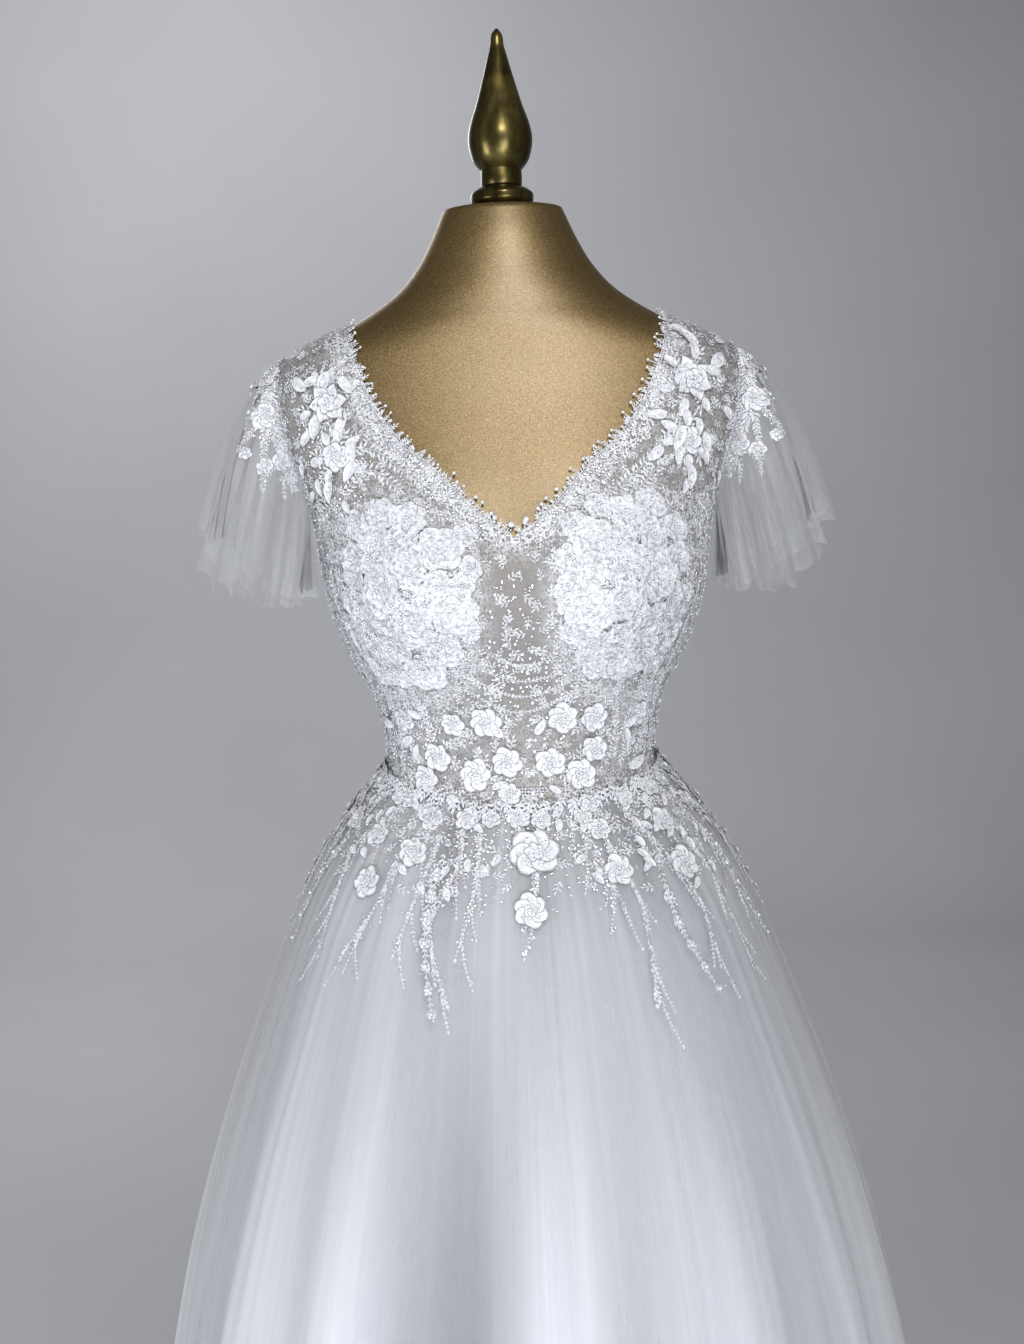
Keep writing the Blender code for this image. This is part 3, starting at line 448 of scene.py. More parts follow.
def onBody(turn, height, lift):
    # The body's point, moved out along the cross product of its slopes around and up.
    turn, height, lift = spread(turn, height, lift)
    point, around, upward = slopes(bodyPoint, turn, height, (radians(0.5), 1e-4))
    return point + unit(np.cross(around, upward)) * lift[..., None]


def turnAt(across, height):
    # The turn on the front at which the body is this far across.
    share = np.clip(np.abs(across) / bodySize("halfWidth", height), 0, 1)
    return np.sign(across) * np.arcsin(share ** (bodySize("squareness", height) / 2))


def seamHeight(turn):
    # The waist seam dips at the centre front.
    return waist["side"] - waist["dip"] * np.clip(np.cos(turn), 0, 1) ** 1.5


def cupReach(across, height):
    # 0 at a cup's middle and 1 at its edge: the length of the two shares of its half sizes.
    wide, tall = (across - cups["across"]) / cups["halfWide"], (height - cups["height"]) / cups["halfTall"]
    return np.hypot(wide, tall)


def netLift(turn, height):
    # Close to the form at the shoulders and back, and clear of the cups and bones in front.
    offCup = ease(1.0, 1.2, cupReach(acrossAt(turn, height), height))
    offMiddle = ease(radians(60), radians(80), np.abs(turn))
    offMiddle = 1 - (1 - offMiddle) * (1 - ease(1.2, 1.25, height))
    return lifts["net"] + lifts["overCup"] * (1 - offCup * offMiddle) * (np.cos(turn) > 0)


def bodice(turn, height, lift):
    # A point above the outside of the bodice's net.
    return onBody(turn, height, netLift(turn, height) + lifts["netThick"] + lift)


sleeve = {
    "middle": 1.356, "tall": 0.068, "front": radians(15), "back": radians(17), "clear": 0.0007,
    "thick": 0.001, "waves": 8, "deep": 0.0075,
    "rows": (  # degrees around, then the bend's x, y, z and the hem's x, y, z in mm
        (0, 254, 0, 1404, 287, 0, 1258), (45, 238, -38, 1378, 272, -62, 1226),
        (90, 212, -60, 1315, 232, -86, 1205), (135, 196, -36, 1268, 200, -58, 1203),
        (180, 192, 0, 1250, 194, 0, 1206), (225, 196, 40, 1268, 200, 62, 1203),
        (270, 212, 66, 1315, 232, 92, 1205), (315, 238, 42, 1378, 272, 66, 1226),
    ),
}


sleeveRows = np.array(sleeve["rows"]) / (1, 1000, 1000, 1000, 1000, 1000, 1000)
lap = (360, 0, 0, 0, 0, 0, 0)
sleeveTable = Table(np.vstack([sleeveRows[-2:] - lap, sleeveRows, sleeveRows[:2] + lap]))


def sleeveOut(around, side):
    # Which way the sleeve faces around the arm.
    return unit(np.stack([np.cos(around) * 0.7 * side, -np.sin(around), 0.2 * np.cos(around)], axis=-1))


def sleevePoint(around, down, side):
    # A curve from the armhole over a bend to the hem, swung round the arm, with waves that grow down it.
    around = np.mod(around, 2 * pi)
    values = sleeveTable.at(np.degrees(around))
    bend, hem = values[..., :3], values[..., 3:]
    turn = pi / 2 - np.where(around < pi, sleeve["front"], sleeve["back"]) * np.sin(around)
    height = sleeve["middle"] + sleeve["tall"] * np.cos(around)
    top = bodice(turn, height, sleeve["clear"] + sleeve["thick"] / 2)
    w = down[..., None]
    points = top * (1 - w) ** 2 + bend * 2 * w * (1 - w) + hem * w**2
    wave = np.cos(around * sleeve["waves"]) * sleeve["deep"] * np.abs(down) ** 1.5
    tuck = 1 - 0.6 * ease(0.4, 1.0, -np.cos(around))
    return (points + sleeveOut(around, 1) * (wave * tuck)[..., None]) * (side, 1, 1)


skirt = {
    "rows": np.array((  # height, half width of the outer tulle, in mm
        (12, 440), (150, 418), (300, 388), (454, 357), (580, 331), (692, 300), (758, 278), (814, 257),
        (869, 236), (923, 213), (967, 189), (1002, 165), (1025, 146), (1045, 127.5),
    )) / 1000,
    "hemDeep": 0.37, "folds": 20, "foldDeep": 0.01, "skin": 0.0006,
    "layers": {  # lift at the waist, hem height, share of the swing, share of the folds
        "lining": (0.0022, 0.022, 0.84, 0.45),
        "inner": (0.0039, 0.017, 0.92, 0.7),
        "outer": (0.0056, 0.012, 1.0, 1.0),
    },
    "creases": np.array((  # degrees, half width, depth in steps of 1.25 mm, shares down: start and full
        (-79, 5, 4, 0.15, 0.6), (-66, 4, -3.5, 0.1, 0.5), (-53, 5, 4.5, 0.12, 0.7),
        (-41, 3, -3, 0.05, 0.4), (-34, 4, 4, 0.2, 0.8), (-21, 5, -5, 0.1, 0.6), (-10, 7, -7, 0.06, 0.5),
        (2, 6, 5, 0.15, 0.7), (13, 4, -5, 0.08, 0.5), (21, 3, 3, 0.2, 0.6), (27, 4, -4, 0.15, 0.7),
        (36, 4, 4, 0.25, 0.8), (47, 3, -4.5, 0.1, 0.5), (54, 4, 5, 0.12, 0.6), (61, 3, -4.5, 0.15, 0.7),
        (74, 5, 4, 0.2, 0.8), (88, 5, -4, 0.1, 0.6), (99, 4, 3.5, 0.12, 0.5), (112, 5, -5, 0.08, 0.6),
        (126, 6, 5, 0.15, 0.7), (141, 4, -4, 0.1, 0.5), (153, 4, 3.5, 0.2, 0.8), (167, 6, -6, 0.06, 0.5),
        (179, 4, 4, 0.15, 0.6), (-168, 4, -4.5, 0.12, 0.6), (-155, 5, 4.5, 0.1, 0.7),
        (-139, 4, -4, 0.15, 0.6), (-124, 5, 4.5, 0.08, 0.5), (-108, 5, -4.5, 0.12, 0.7),
        (-94, 4, 3.5, 0.18, 0.6),
    )),
    "shades": np.array((  # the same for painted light and shade: how much lighter or darker the cloth's colour is painted there, in steps of 0.015
        (-34, 8, 6, 0.1, 0.5), (-13, 8, -13, 0.05, 0.4), (4, 6, 11, 0.1, 0.5), (17, 3, -4, 0.2, 0.6),
        (30, 7, 14, 0.1, 0.6), (52, 7, -6, 0.1, 0.5), (74, 8, 6, 0.2, 0.7), (97, 8, -9, 0.1, 0.5),
        (118, 7, 7, 0.1, 0.6), (140, 8, -8, 0.1, 0.5), (163, 7, 8, 0.1, 0.5), (-176, 8, -9, 0.1, 0.5),
        (-153, 7, 8, 0.1, 0.6), (-128, 8, -9, 0.1, 0.5), (-104, 7, 7, 0.2, 0.6), (-80, 8, -8, 0.1, 0.5),
        (-57, 6, -4, 0.1, 0.5),
    )),
}


skirtTable = Table(skirt["rows"])
waistFront, waistBack = bodySize("front", waist["side"] - waist["dip"]), bodySize("back", waist["side"])


def swingWay(turn):
    # Which way the skirt swings out: less at the front and back than at the sides.
    near = np.where(np.cos(turn) > 0, waistFront, waistBack)
    deep = (skirt["hemDeep"] - near) / (skirt["rows"][0, 1] - skirt["rows"][-1, 1])
    return np.stack([np.sin(turn), -deep * np.cos(turn), 0 * turn], axis=-1)


def skirtPoint(layer, turn, down, extra):
    # From the waist seam on the body, swung outwards by the table's half width, with a wave of folds.
    lift, hem, share, foldShare = skirt["layers"][layer]
    top = onBody(turn, seamHeight(turn) - waist["seam"], lift + extra)
    side = waist["side"] * (1 - down) + skirt["rows"][0, 0] * down
    swing = skirtTable.at(side)[..., 0] - skirt["rows"][-1, 1]
    drift = 0.9 * np.sin(2 * turn) + 0.5 * np.sin(6 * turn)
    wave = (0.72 + 0.28 * np.cos(4 * turn)) * np.cos(skirt["folds"] * turn + drift)
    fold = wave * skirt["foldDeep"] * foldShare * ease(0.1, 0.75, down)
    points = top + swingWay(turn) * (share * swing + fold)[..., None]
    points[..., 2] = top[..., 2] * (1 - down) + hem * down
    return points


def creaseDepth(turn, down, rows="creases"):
    # The sum of soft ridges and troughs, each a bell curve across that deepens down the skirt.
    place, half, deep, start, full = skirt[rows].T
    off = np.mod(turn[..., None] - np.radians(place) + pi, 2 * pi) - pi
    grow = ease(start, full, down[..., None])
    return (deep / 800 * np.exp(-((off / np.radians(half)) ** 2)) * grow).sum(-1)


def skirtDown(turn, height):
    # How far down the outer tulle a height is, from 0 at the waist seam to 1 at the hem.
    start = seamHeight(turn) - waist["seam"]
    return (start - height) / (start - skirt["layers"]["outer"][1])


def overSleeve(side):
    def surface(u, v, lift):
        # u runs around the sleeve and v up it, so that outwards is the same way as on the body.
        u, v, lift = spread(u, v, lift)
        point, across, along = slopes(sleevePoint, -side * u, -v, (1e-3, 1e-3), side)
        return point + unit(np.cross(across, along)) * side * lift[..., None]
    return surface


def surfaceFrame(surface, u, v, lift):
    # The point, its right, up and outward directions, and its slopes with u and v.
    u, v, lift = spread(u, v, lift)
    point, du, dv = slopes(surface, u, v, (1e-3, 1e-3), lift)
    out = unit(np.cross(du, dv))
    right = unit(du)
    return point, right, np.cross(out, right), out, du, dv


def turnedShape(shape, spin, size):
    # Copies of a shape, each scaled and turned clockwise by its spin, as seen from outside.
    spin, size = np.asarray(spin, float)[:, None], np.asarray(size, float)[:, None]
    x, y, z = shape.T[:, None]
    return ((x * np.cos(spin) + y * np.sin(spin)) * size, (y * np.cos(spin) - x * np.sin(spin)) * size,
            z * size)


def layStiff(surface, shape, u, v, spin, size, lift):
    # Small shapes stood on a surface by its own directions at each place.
    point, *ways, _, _ = surfaceFrame(surface, u, v, lift)
    parts = zip(turnedShape(shape, spin, size), ways)
    return point[:, None] + sum(part[..., None] * way[:, None] for part, way in parts)


def shifted(surface, u, v, a, b):
    # A place moved a metres to the right and b metres up along the surface.
    u, v = spread(u, v)
    _, right, up, _, du, dv = surfaceFrame(surface, u, v, np.zeros(u.shape))
    stepV = b / (dv * up).sum(-1)
    stepU = (a - stepV * (dv * right).sum(-1)) / np.linalg.norm(du, axis=-1)
    return u + stepU, v + stepV


def layBent(surface, shape, u, v, spin, size, lift):
    # Larger shapes, every point of which follows the surface under it.
    a, b, h = turnedShape(shape, spin, size)
    return surface(*shifted(surface, u[:, None], v[:, None], a, b), lift[:, None] + h)


# The shapes that the lace is made of, each of unit size, with y along it and z off the cloth

def flowerShape(petals, rows=6, across=5, full=0.37, cup=0.06, notch=0.06, inner=0.08, pointed=False):
    # Petal k points at angle 2 pi k / petals: its half width is a sine of its length, its rim is
    # notched at the middle, and it rises to its tip and to its sides, one side over the next petal.
    s, t = np.meshgrid(np.linspace(0, 1, rows), np.linspace(-1, 1, across), indexing="ij")
    along = inner + (0.97 - inner) * s - 0.16 * s * t**2 - notch * s**3 * np.exp(-((t / 0.35) ** 2))
    swell = np.sin(pi * (0.06 + 0.92 * s**0.75)) if pointed else np.sin(pi * (0.08 + 0.8 * s**0.85)) ** 0.65
    half = t * full * swell
    k = np.arange(petals)[:, None, None]
    angle = 2 * pi * k / petals + 0.1 * np.sin(2.3 * k)
    size = 1 - 0.06 * np.cos(1.7 * k)
    lift = 0.03 + cup * s**2 * (0.35 + 0.65 * t**2) + 0.03 * t + 0.02 * np.sin(4 * t + 2 * k) * s**2
    x = size * (half * np.cos(angle) + along * np.sin(angle))
    y = size * (along * np.cos(angle) - half * np.sin(angle))
    points = np.stack([x, y, lift + 0 * x], axis=-1)
    edge = np.tile(0.25 + 0.75 * np.maximum(np.abs(t), s).ravel(), petals)
    return points.reshape(-1, 3), copiedFaces(gridFaces(rows, across), petals, rows * across), edge


def leafShape():
    # A pointed oval: half its width is the sine of its length, with a raised edge and a sunk vein.
    s, t = np.meshgrid(np.linspace(0, 1, 7), np.linspace(-1, 1, 5), indexing="ij")
    half = 0.23 * np.sin(pi * s**0.85) ** 0.8
    lift = 0.1 * np.sin(pi * s) * (0.35 + 0.65 * np.abs(t)) + 0.02
    points = np.stack([half * t, s, lift], axis=-1)
    return points.reshape(-1, 3), gridFaces(*s.shape), 0.25 + 0.75 * np.abs(t).ravel()


def plainShape(points, faces):
    # A shape of thread, bead or sequin, which has no petal's edge.
    return np.asarray(points, float), np.asarray(faces), np.zeros(len(points))


def ringPoints(count, radius, height):
    # Points on a circle at a height.
    angle = np.arange(count) * 2 * pi / count
    return np.stack([radius * np.cos(angle), radius * np.sin(angle), height + 0 * angle], axis=-1)


def leafletShape():
    # A small satin stitch: a lens of four faces with a raised middle.
    points = ((0, 0, 0.02), (0.17, 0.5, 0.02), (0, 1, 0.02), (-0.17, 0.5, 0.02), (0, 0.5, 0.18))
    return plainShape(points, ((0, 1, 4), (1, 2, 4), (2, 3, 4), (3, 0, 4)))


def beadShape():
    # A small ball as two five-sided cones with a belt between, resting on the cloth.
    j = np.arange(5)
    k = (j + 1) % 5
    faces = np.concatenate([np.stack((j, k, 6 + 0 * j), axis=-1), np.stack((k, j, 5 + 0 * j), axis=-1)])
    return plainShape(np.vstack([ringPoints(5, 1, 0), (0, 0, -0.9), (0, 0, 0.9)]) + (0, 0, 0.8), faces)


def ballShape():
    # A round bead of five rings of eight points, resting on its pole.
    rings = ((0.05, -1.0), (0.75, -0.66), (1.0, 0.0), (0.75, 0.66), (0.05, 1.0))
    return plainShape(np.concatenate([ringPoints(8, *ring) for ring in rings]) + (0, 0, 1.0),
                      gridFaces(5, 8, True))


def sequinShape():
    # A shallow cup of six faces.
    j = np.arange(6)
    return plainShape(np.vstack([(0, 0, 0.05), ringPoints(6, 1, 0.35)]),
                      np.stack([0 * j, 1 + j, 1 + (j + 1) % 6], axis=-1))


def twigShape():
    # A short stem with two pairs of stitches and one at its tip: where each starts, its lean and size.
    leaflet, faces, _ = leafletShape()
    foot, lean, size = np.array(((0.06, -52, 0.4), (0.14, 50, 0.4), (0.32, -42, 0.42), (0.4, 40, 0.42),
                                 (0.56, 4, 0.44))).T
    leaves = np.stack(turnedShape(leaflet, np.radians(lean), size), axis=-1)
    leaves[..., 1] += foot[:, None]
    rod = ((-0.022, 0, 0.03), (0.022, 0, 0.03), (0.022, 0.6, 0.03), (-0.022, 0.6, 0.03))
    faces = np.vstack([copiedFaces(faces, 5, 5), ((25, 26, 27), (25, 27, 28))])
    return plainShape(np.vstack([leaves.reshape(-1, 3), rod]), faces)


def stalkShape():
    # A three-sided thread of unit length.
    ring = np.array(((-0.05, 0, 0), (0.05, 0, 0), (0, 0, 0.08)))
    return plainShape(np.vstack([ring, ring + (0, 1, 0)]),
                      ((0, 2, 5), (0, 5, 3), (2, 1, 4), (2, 4, 5), (1, 0, 3), (1, 3, 4)))


shapes = {
    "flower": flowerShape(6, full=0.47, notch=0.04),
    "heart": flowerShape(5, 4, 4, full=0.46, cup=0.16, notch=0.05, inner=0.05),
    "rose": flowerShape(6, full=0.5, cup=0.04),
    "star": flowerShape(6, full=0.34, cup=0.1, notch=0.0, pointed=True),
    "leaf": leafShape(), "leaflet": leafletShape(), "twig": twigShape(), "stalk": stalkShape(),
    "bead": beadShape(), "ball": ballShape(), "sequin": sequinShape(),
}
trimFinishes = {"bead": "bead", "ball": "bead", "sequin": "sequin"}  # every other shape is lace
kept = {}  # piece and finish: the points and faces laid for it so far


def keep(piece, finish, points, faces, edge=None):
    points = np.asarray(points).reshape(-1, 3)
    edge = np.zeros(len(points)) if edge is None else edge
    kept.setdefault((piece, finish), []).append((points, faces, edge))


def lay(piece, surface, shapeName, u, v, spin, size, lift=0.0002, rim=1.0):
    # Copies of a shape at places u, v of a surface, kept for a piece. Petals and leaves, which have
    # an edge, bend with the surface. Stitches, beads and sequins stand on it as they are.
    u, v, spin, size, lift = spread(*map(np.atleast_1d, (u, v, spin, size, lift)))
    if not len(u):
        return
    points, faces, edge = shapes[shapeName]
    laid = (layBent if edge.any() else layStiff)(surface, points, u, v, spin, size, lift)
    keep(piece, trimFinishes.get(shapeName, "lace"), laid, copiedFaces(faces, len(u), len(points)),
         np.tile(edge * rim, len(u)))


def finishKept(piece, nodes=()):
    # The meshes laid for a piece, one for each finish; the lace stands for the solids it replaces.
    for key in [key for key in kept if key[0] == piece]:
        parts = kept.pop(key)
        start = np.cumsum([0] + [len(points) for points, _, _ in parts[:-1]])
        points, edge = (np.concatenate([part[k] for part in parts]) for k in (0, 2))
        faces = np.concatenate([faces + s for (_, faces, _), s in zip(parts, start)])
        lace = key[1] == "lace"
        makePiece(piece if lace else f"{piece}_{key[1]}s", points, faces, key[1], "applique",
                  nodes if lace else (), edge=edge)


def curveThrough(surface, places, step):
    # A smooth curve through a few places of a surface, as points at even real distances.
    places = np.asarray(places, float)
    fine = np.linspace(0, len(places) - 1, 40 * len(places))
    line = Table(np.column_stack([np.arange(len(places)), places])).at(fine)
    points = surface(line[:, 0], line[:, 1], 0 * fine)
    length = np.r_[0, np.cumsum(np.linalg.norm(np.diff(points, axis=0), axis=1))]
    at = np.linspace(0, length[-1], max(3, int(length[-1] / step) + 1))
    return np.stack([np.interp(at, length, line[:, k]) for k in (0, 1)], axis=-1)


def headings(surface, line):
    # The way a line goes at each of its points, clockwise from straight up the surface.
    point, right, up, _, _, _ = surfaceFrame(surface, *line.T, 0)
    way = np.gradient(point, axis=0)
    return np.arctan2((way * right).sum(-1), (way * up).sum(-1))


def stem(piece, surface, line, radius, lift):
    # A thread along a line on a surface: a four-sided tube, thinner at its ends.
    point, _, _, out, _, _ = surfaceFrame(surface, *line.T, lift)
    side = unit(np.cross(unit(np.gradient(point, axis=0)), out))
    angle = np.arange(4) * pi / 2 + pi / 4
    taper = radius * np.sin(np.linspace(0.12, pi - 0.12, len(line))) ** 0.25
    ring = side[:, None] * np.cos(angle)[None, :, None] + out[:, None] * np.sin(angle)[None, :, None]
    points = point[:, None] + ring * taper[:, None, None]
    keep(piece, "lace", points, gridFaces(len(line), 4, wrap=True)[:, ::-1])


def sprinkle(piece, surface, u, v, shapeName, radius, lift=0.001):
    # Beads or sequins at places, each of its own size.
    if len(u):
        lay(piece, surface, shapeName, u, v, chance.uniform(0, pi, len(u)),
            radius * chance.uniform(0.75, 1.25, len(u)), lift)


vines = {  # stitch length and gap, degrees they lean, taper, shares of beads and sequins, thread, lift
    "spray": (0.0062, 0.0046, 34, 0.4, 0.3, 0.4, 0.0004, 0.0006),
    "frond": (0.006, 0.0038, 26, 0.4, 0.15, 0.35, 0.0003, 0.0002),
    "branch": (0.0048, 0.0036, 26, 0.4, 0.0, 0.3, 0.00025, 0.0002),
    "swag": (0.0036, 0.0032, 40, 0.0, 0.25, 0.0, 0.0005, 0.0002),
    "fern": (0.0088, 0.0046, 58, 0.35, 0.2, 0.2, 0.00045, 0.0002),
    "front": (0.0068, 0.003, 48, 0.4, 0.25, 0.35, 0.00045, 0.0002),
    "back": (0.0068, 0.003, 48, 0.4, 0.22, 0.35, 0.00045, 0.0002),
    "sleeve": (0.0068, 0.003, 48, 0.4, 0.2, 0.3, 0.00045, 0.0002),
    "armhole": (0.0056, 0.0026, 48, 0.0, 0.25, 0.3, 0.00045, 0.0002),
    "seam": (0.0056, 0.0026, 48, 0.0, 0.35, 0.35, 0.00045, 0.0002),
    "capHigh": (0.006, 0.003, 48, 0.0, 0.25, 0.3, 0.00045, 0.0002),
    "capLow": (0.0066, 0.003, 48, 0.0, 0.25, 0.3, 0.00045, 0.0002),
}
trimSizes = {"bead": 0.0011, "sequin": 0.0014}


def vine(piece, surface, places, kind, trim=None):
    # A stem with stitches leaning out on both sides, smaller to its tip, and beads and sequins among them.
    leaf, gap, lean, taper, *shares, thread, lift = vines[kind]
    line = curveThrough(surface, places, gap)
    stem(piece, surface, line, thread, lift)
    heading = headings(surface, line)
    size = leaf * (1 - taper * np.linspace(0, 1, len(line))) * chance.uniform(0.8, 1.2, len(line))
    for sideways in (-1, 1):
        spin = heading + sideways * radians(lean) + chance.normal(0, 0.15, len(line))
        lay(piece, surface, "leaflet", *line.T, spin, size, lift)
    lay(piece, surface, "leaflet", *line[-1], heading[-1], leaf * 0.9, lift)
    for (shapeName, radius), share in zip(trimSizes.items(), shares):
        some = chance.random(len(line)) < share
        away = chance.normal(0, leaf * 0.5, (2, some.sum()))
        sprinkle(trim or piece, surface, *shifted(surface, *line[some].T, *away), shapeName, radius)


blooms = {  # how strong the edge colouring is, with its stitched line and painted rim shade, and the sizes and lifts of the smaller petals over the outer ones
    "flower": (1.0, ((0.4, 0.04, 0.63),)),
    "star": (1.0, ((0.45, 0.04, 0.63),)),
    "rose": (0.46, ((0.62, 0.04, 0.63), (0.32, 0.08, 0.2))),
}
bloomTrims = (  # share of the radius at which they lie, how many, radius of each, shape
    (0.0, 1, 0.0015, "bead"), (0.17, 5, 0.0011, "bead"), (0.6, 5, 0.0012, "sequin"),
)


def bloom(piece, surface, u, v, radius, spin=None, lift=0.0006, trim=None, kind="flower"):
    # A flower with smaller petals inside, a heart of beads, and sequins over its petals.
    # A rose is large and low in contrast, a star has pointed petals.
    spin = chance.uniform(0, 2, np.size(u)) if spin is None else spin
    u, v, radius, spin = spread(*map(np.atleast_1d, (u, v, radius, spin)))
    rim, hearts = blooms[kind]
    lay(piece, surface, kind, u, v, spin, radius, lift, rim)
    for share, rise, turned in hearts:
        lay(piece, surface, "heart", u, v, spin + turned, radius * share, lift + radius * rise, rim)
    for share, count, size, shapeName in bloomTrims:
        angle = chance.uniform(0, 2 * pi) + np.arange(count) * 2 * pi / count
        far = share * radius[:, None] * chance.uniform(0.85, 1.15, (len(u), count))
        a, b = shifted(surface, u[:, None], v[:, None], far * np.sin(angle), far * np.cos(angle))
        high = lift + np.repeat(radius * 0.08 + 0.0006, count)
        lay(trim or piece, surface, shapeName, a.ravel(), b.ravel(), 0, size, high)


def frontPlaces(rows):
    # Places on the front given as across and height, as their turns and their heights.
    across, height = np.asarray(rows, float)[:, :2].T
    return turnAt(across, height), height


# Patterns of the net panels

panels = {
    "scoop": 1.385, "scoopPower": 2.4, "sideShare": 0.5, "seam": 0.0003,
    "neckline": np.array((  # across and height in mm, from the bottom of the V to the shoulder
        (0, 1262), (14, 1268), (42, 1294), (70, 1323), (98, 1349), (122, 1387), (135, 1420), (143, 1450.5),
    )) / 1000,
}


neckline = panels["neckline"]
neckTable = Table(neckline)
vBottom, neckPoint = neckline[0, 1], neckline[-1]


def sideTurn(height):
    # The side seam's turn: a hair in front of the side, so that front and back leave the seam's gap.
    return pi / 2 - panels["seam"] / 2 / bodySize("front", height)


def necklineAt(share):
    across = np.interp(share, np.linspace(0, 1, len(neckline)), neckline[:, 0])
    height = neckTable.at(across)[..., 0]
    turn = np.minimum(turnAt(across, height), sideTurn(height))
    return np.where(share >= 1, sideTurn(height), turn), height


def scoopHeight(share):
    return panels["scoop"] + (neckPoint[1] - panels["scoop"]) * share ** panels["scoopPower"]


def scoopAt(share):
    start = panels["seam"] / 2
    height = scoopHeight(share)
    turn = pi - np.maximum(turnAt(start + (neckPoint[0] - start) * share, height), turnAt(start, height))
    return np.where(share >= 1, pi - sideTurn(height), turn), height


def armholeAt(share, reach):
    around = pi * (1 - share)
    height = sleeve["middle"] + sleeve["tall"] * np.cos(around)
    return np.minimum(pi / 2 - reach * np.sin(around), sideTurn(height)), height


def evenly(line, share):
    # A line's turn and height at shares of its real length.
    turn, height = line(np.linspace(0, 1, 800))
    steps = np.linalg.norm(np.diff(bodyPoint(turn, height), axis=0), axis=1)
    length = np.r_[0, np.cumsum(steps)] / steps.sum()
    return np.interp(share, length, turn), np.interp(share, length, height)


def halfPanel(rows, strips, back):
    # Straight rows from the centre and neckline to the side and armhole; the lowest sink to the waist.
    share = np.linspace(0, 1, rows)
    below = share < panels["sideShare"]
    low = np.clip(share / panels["sideShare"], 0, 1)
    high = np.clip((share - panels["sideShare"]) / (1 - panels["sideShare"]), 0, 1)
    neckTurn, neckHeight = evenly(scoopAt if back else necklineAt, high)
    foot = seamHeight(pi if back else 0.0) + panels["seam"]
    top = panels["scoop"] if back else vBottom
    innerHeight = np.where(below, foot + (top - foot) * low, neckHeight)
    centre = pi - turnAt(panels["seam"] / 2, innerHeight) if back else 0.0
    innerTurn = np.where(below, centre, neckTurn)
    armTurn, armHeight = evenly(lambda at: armholeAt(at, sleeve["back" if back else "front"]), high)
    foot, top = waist["side"] + panels["seam"], sleeve["middle"] - sleeve["tall"]
    outerHeight = np.where(below, foot + (top - foot) * low, armHeight)
    outerTurn = np.where(below, sideTurn(outerHeight), armTurn)
    outerTurn = pi - outerTurn if back else outerTurn
    t = np.linspace(0, 1, strips + 1)[None, :]
    turn = innerTurn[:, None] * (1 - t) + outerTurn[:, None] * t
    height = innerHeight[:, None] * (1 - t) + outerHeight[:, None] * t
    foot = seamHeight(turn) + panels["seam"]
    sink = np.linspace(1, 0, rows)[:, None] ** 3
    return turn, height + (foot - height[:1]) * sink


halves = {"front": halfPanel(70, 44, False), "back": halfPanel(56, 34, True)}
rimLines = {}  # turn and height along each neck edge, on the right side
for half, (turns, heights) in halves.items():
    first = int(np.ceil(panels["sideShare"] * (len(turns) - 1)))
    rimLines[half] = np.column_stack([turns[first:, 0], heights[first:, 0]])


# The form and its stand

form = {"rows": 170, "around": 140, "domeRows": 24, "cap": 1.5535, "rim": 1.55, "foot": 0.8}


def makeForm():
    # The body's sections from the underside to the neck, then a shallow dome over the neck:
    # its height rises with the cosine of the share of the way in.
    height = np.linspace(form["foot"], form["rim"], form["rows"])
    turn = np.arange(form["around"]) * 2 * pi / form["around"]
    wall = bodyPoint(turn[None, :], height[:, None])
    share = np.linspace(1, 0.0, form["domeRows"])[1:, None, None]
    inward = np.concatenate([share, share, np.ones_like(share)], axis=-1)
    dome = wall[-1] * inward + np.array((0, 0, form["cap"] - form["rim"])) * np.cos(share * pi / 2)
    points = np.concatenate([wall[0] * inward[::-1], wall, dome])
    made = makePiece("dress_form", points, gridFaces(len(points), form["around"], True), "gold",
                     "gold_fabric", ("form_torso",))


finial = {  # every profile is height above the neck cap and radius in mm, from the bottom up
    "foot": 1.5538, "flameRows": 90, "ringRows": 14,
    "flame": (
        (31.5, 18.4), (37, 23.2), (49, 28), (60, 29), (70, 27.2), (88, 21), (113, 13.5), (138, 6.5),
        (152.5, 2.2), (154.5, 0),
    ),
    "ring": ((0, 25), (3, 27.8), (7, 28.5), (11, 27.8), (15, 22.5)),
    "groove": ((15.3, 17.2), (15.8, 16.5), (16.8, 16.5), (17.2, 17)),
    "collar": ((17.6, 18), (18.4, 18.4), (25, 18.6), (31, 18.4)),
}
stand = {  # height above the floor and radius, in mm; the rim and neck are quarter rounds of a size
    "pole": ((34.3, 0), (34.3, 15), (35.3, 16), (798.7, 16), (799.7, 15), (799.7, 0)),
    "foot": ((0, 0), (0, 175)), "rim": (6, 169, 6), "neck": (28, 42, 10), "plate": (12, 165),
    "top": ((30, 32), (34, 28), (34, 0)),
}


def turnedPiece(name, profile, around, finish, slotName, node):
    # A profile of height and radius in mm, from the bottom up, carried round the middle.
    height, radius = np.asarray(profile)[:, :, None].transpose(1, 0, 2) / 1000
    turn = np.arange(around) * 2 * pi / around
    points = np.stack([radius * np.sin(turn), -radius * np.cos(turn), height + 0 * turn], axis=-1)
    made = makePiece(name, points, gridFaces(len(points), around, True), finish, slotName, (node,))
    made.data.set_sharp_from_angle(angle=radians(38))


def smoothed(rows, count):
    # A profile read at even heights.
    at = np.linspace(rows[0][0], rows[-1][0], count)
    return np.column_stack([at, Table(rows).at(at)])


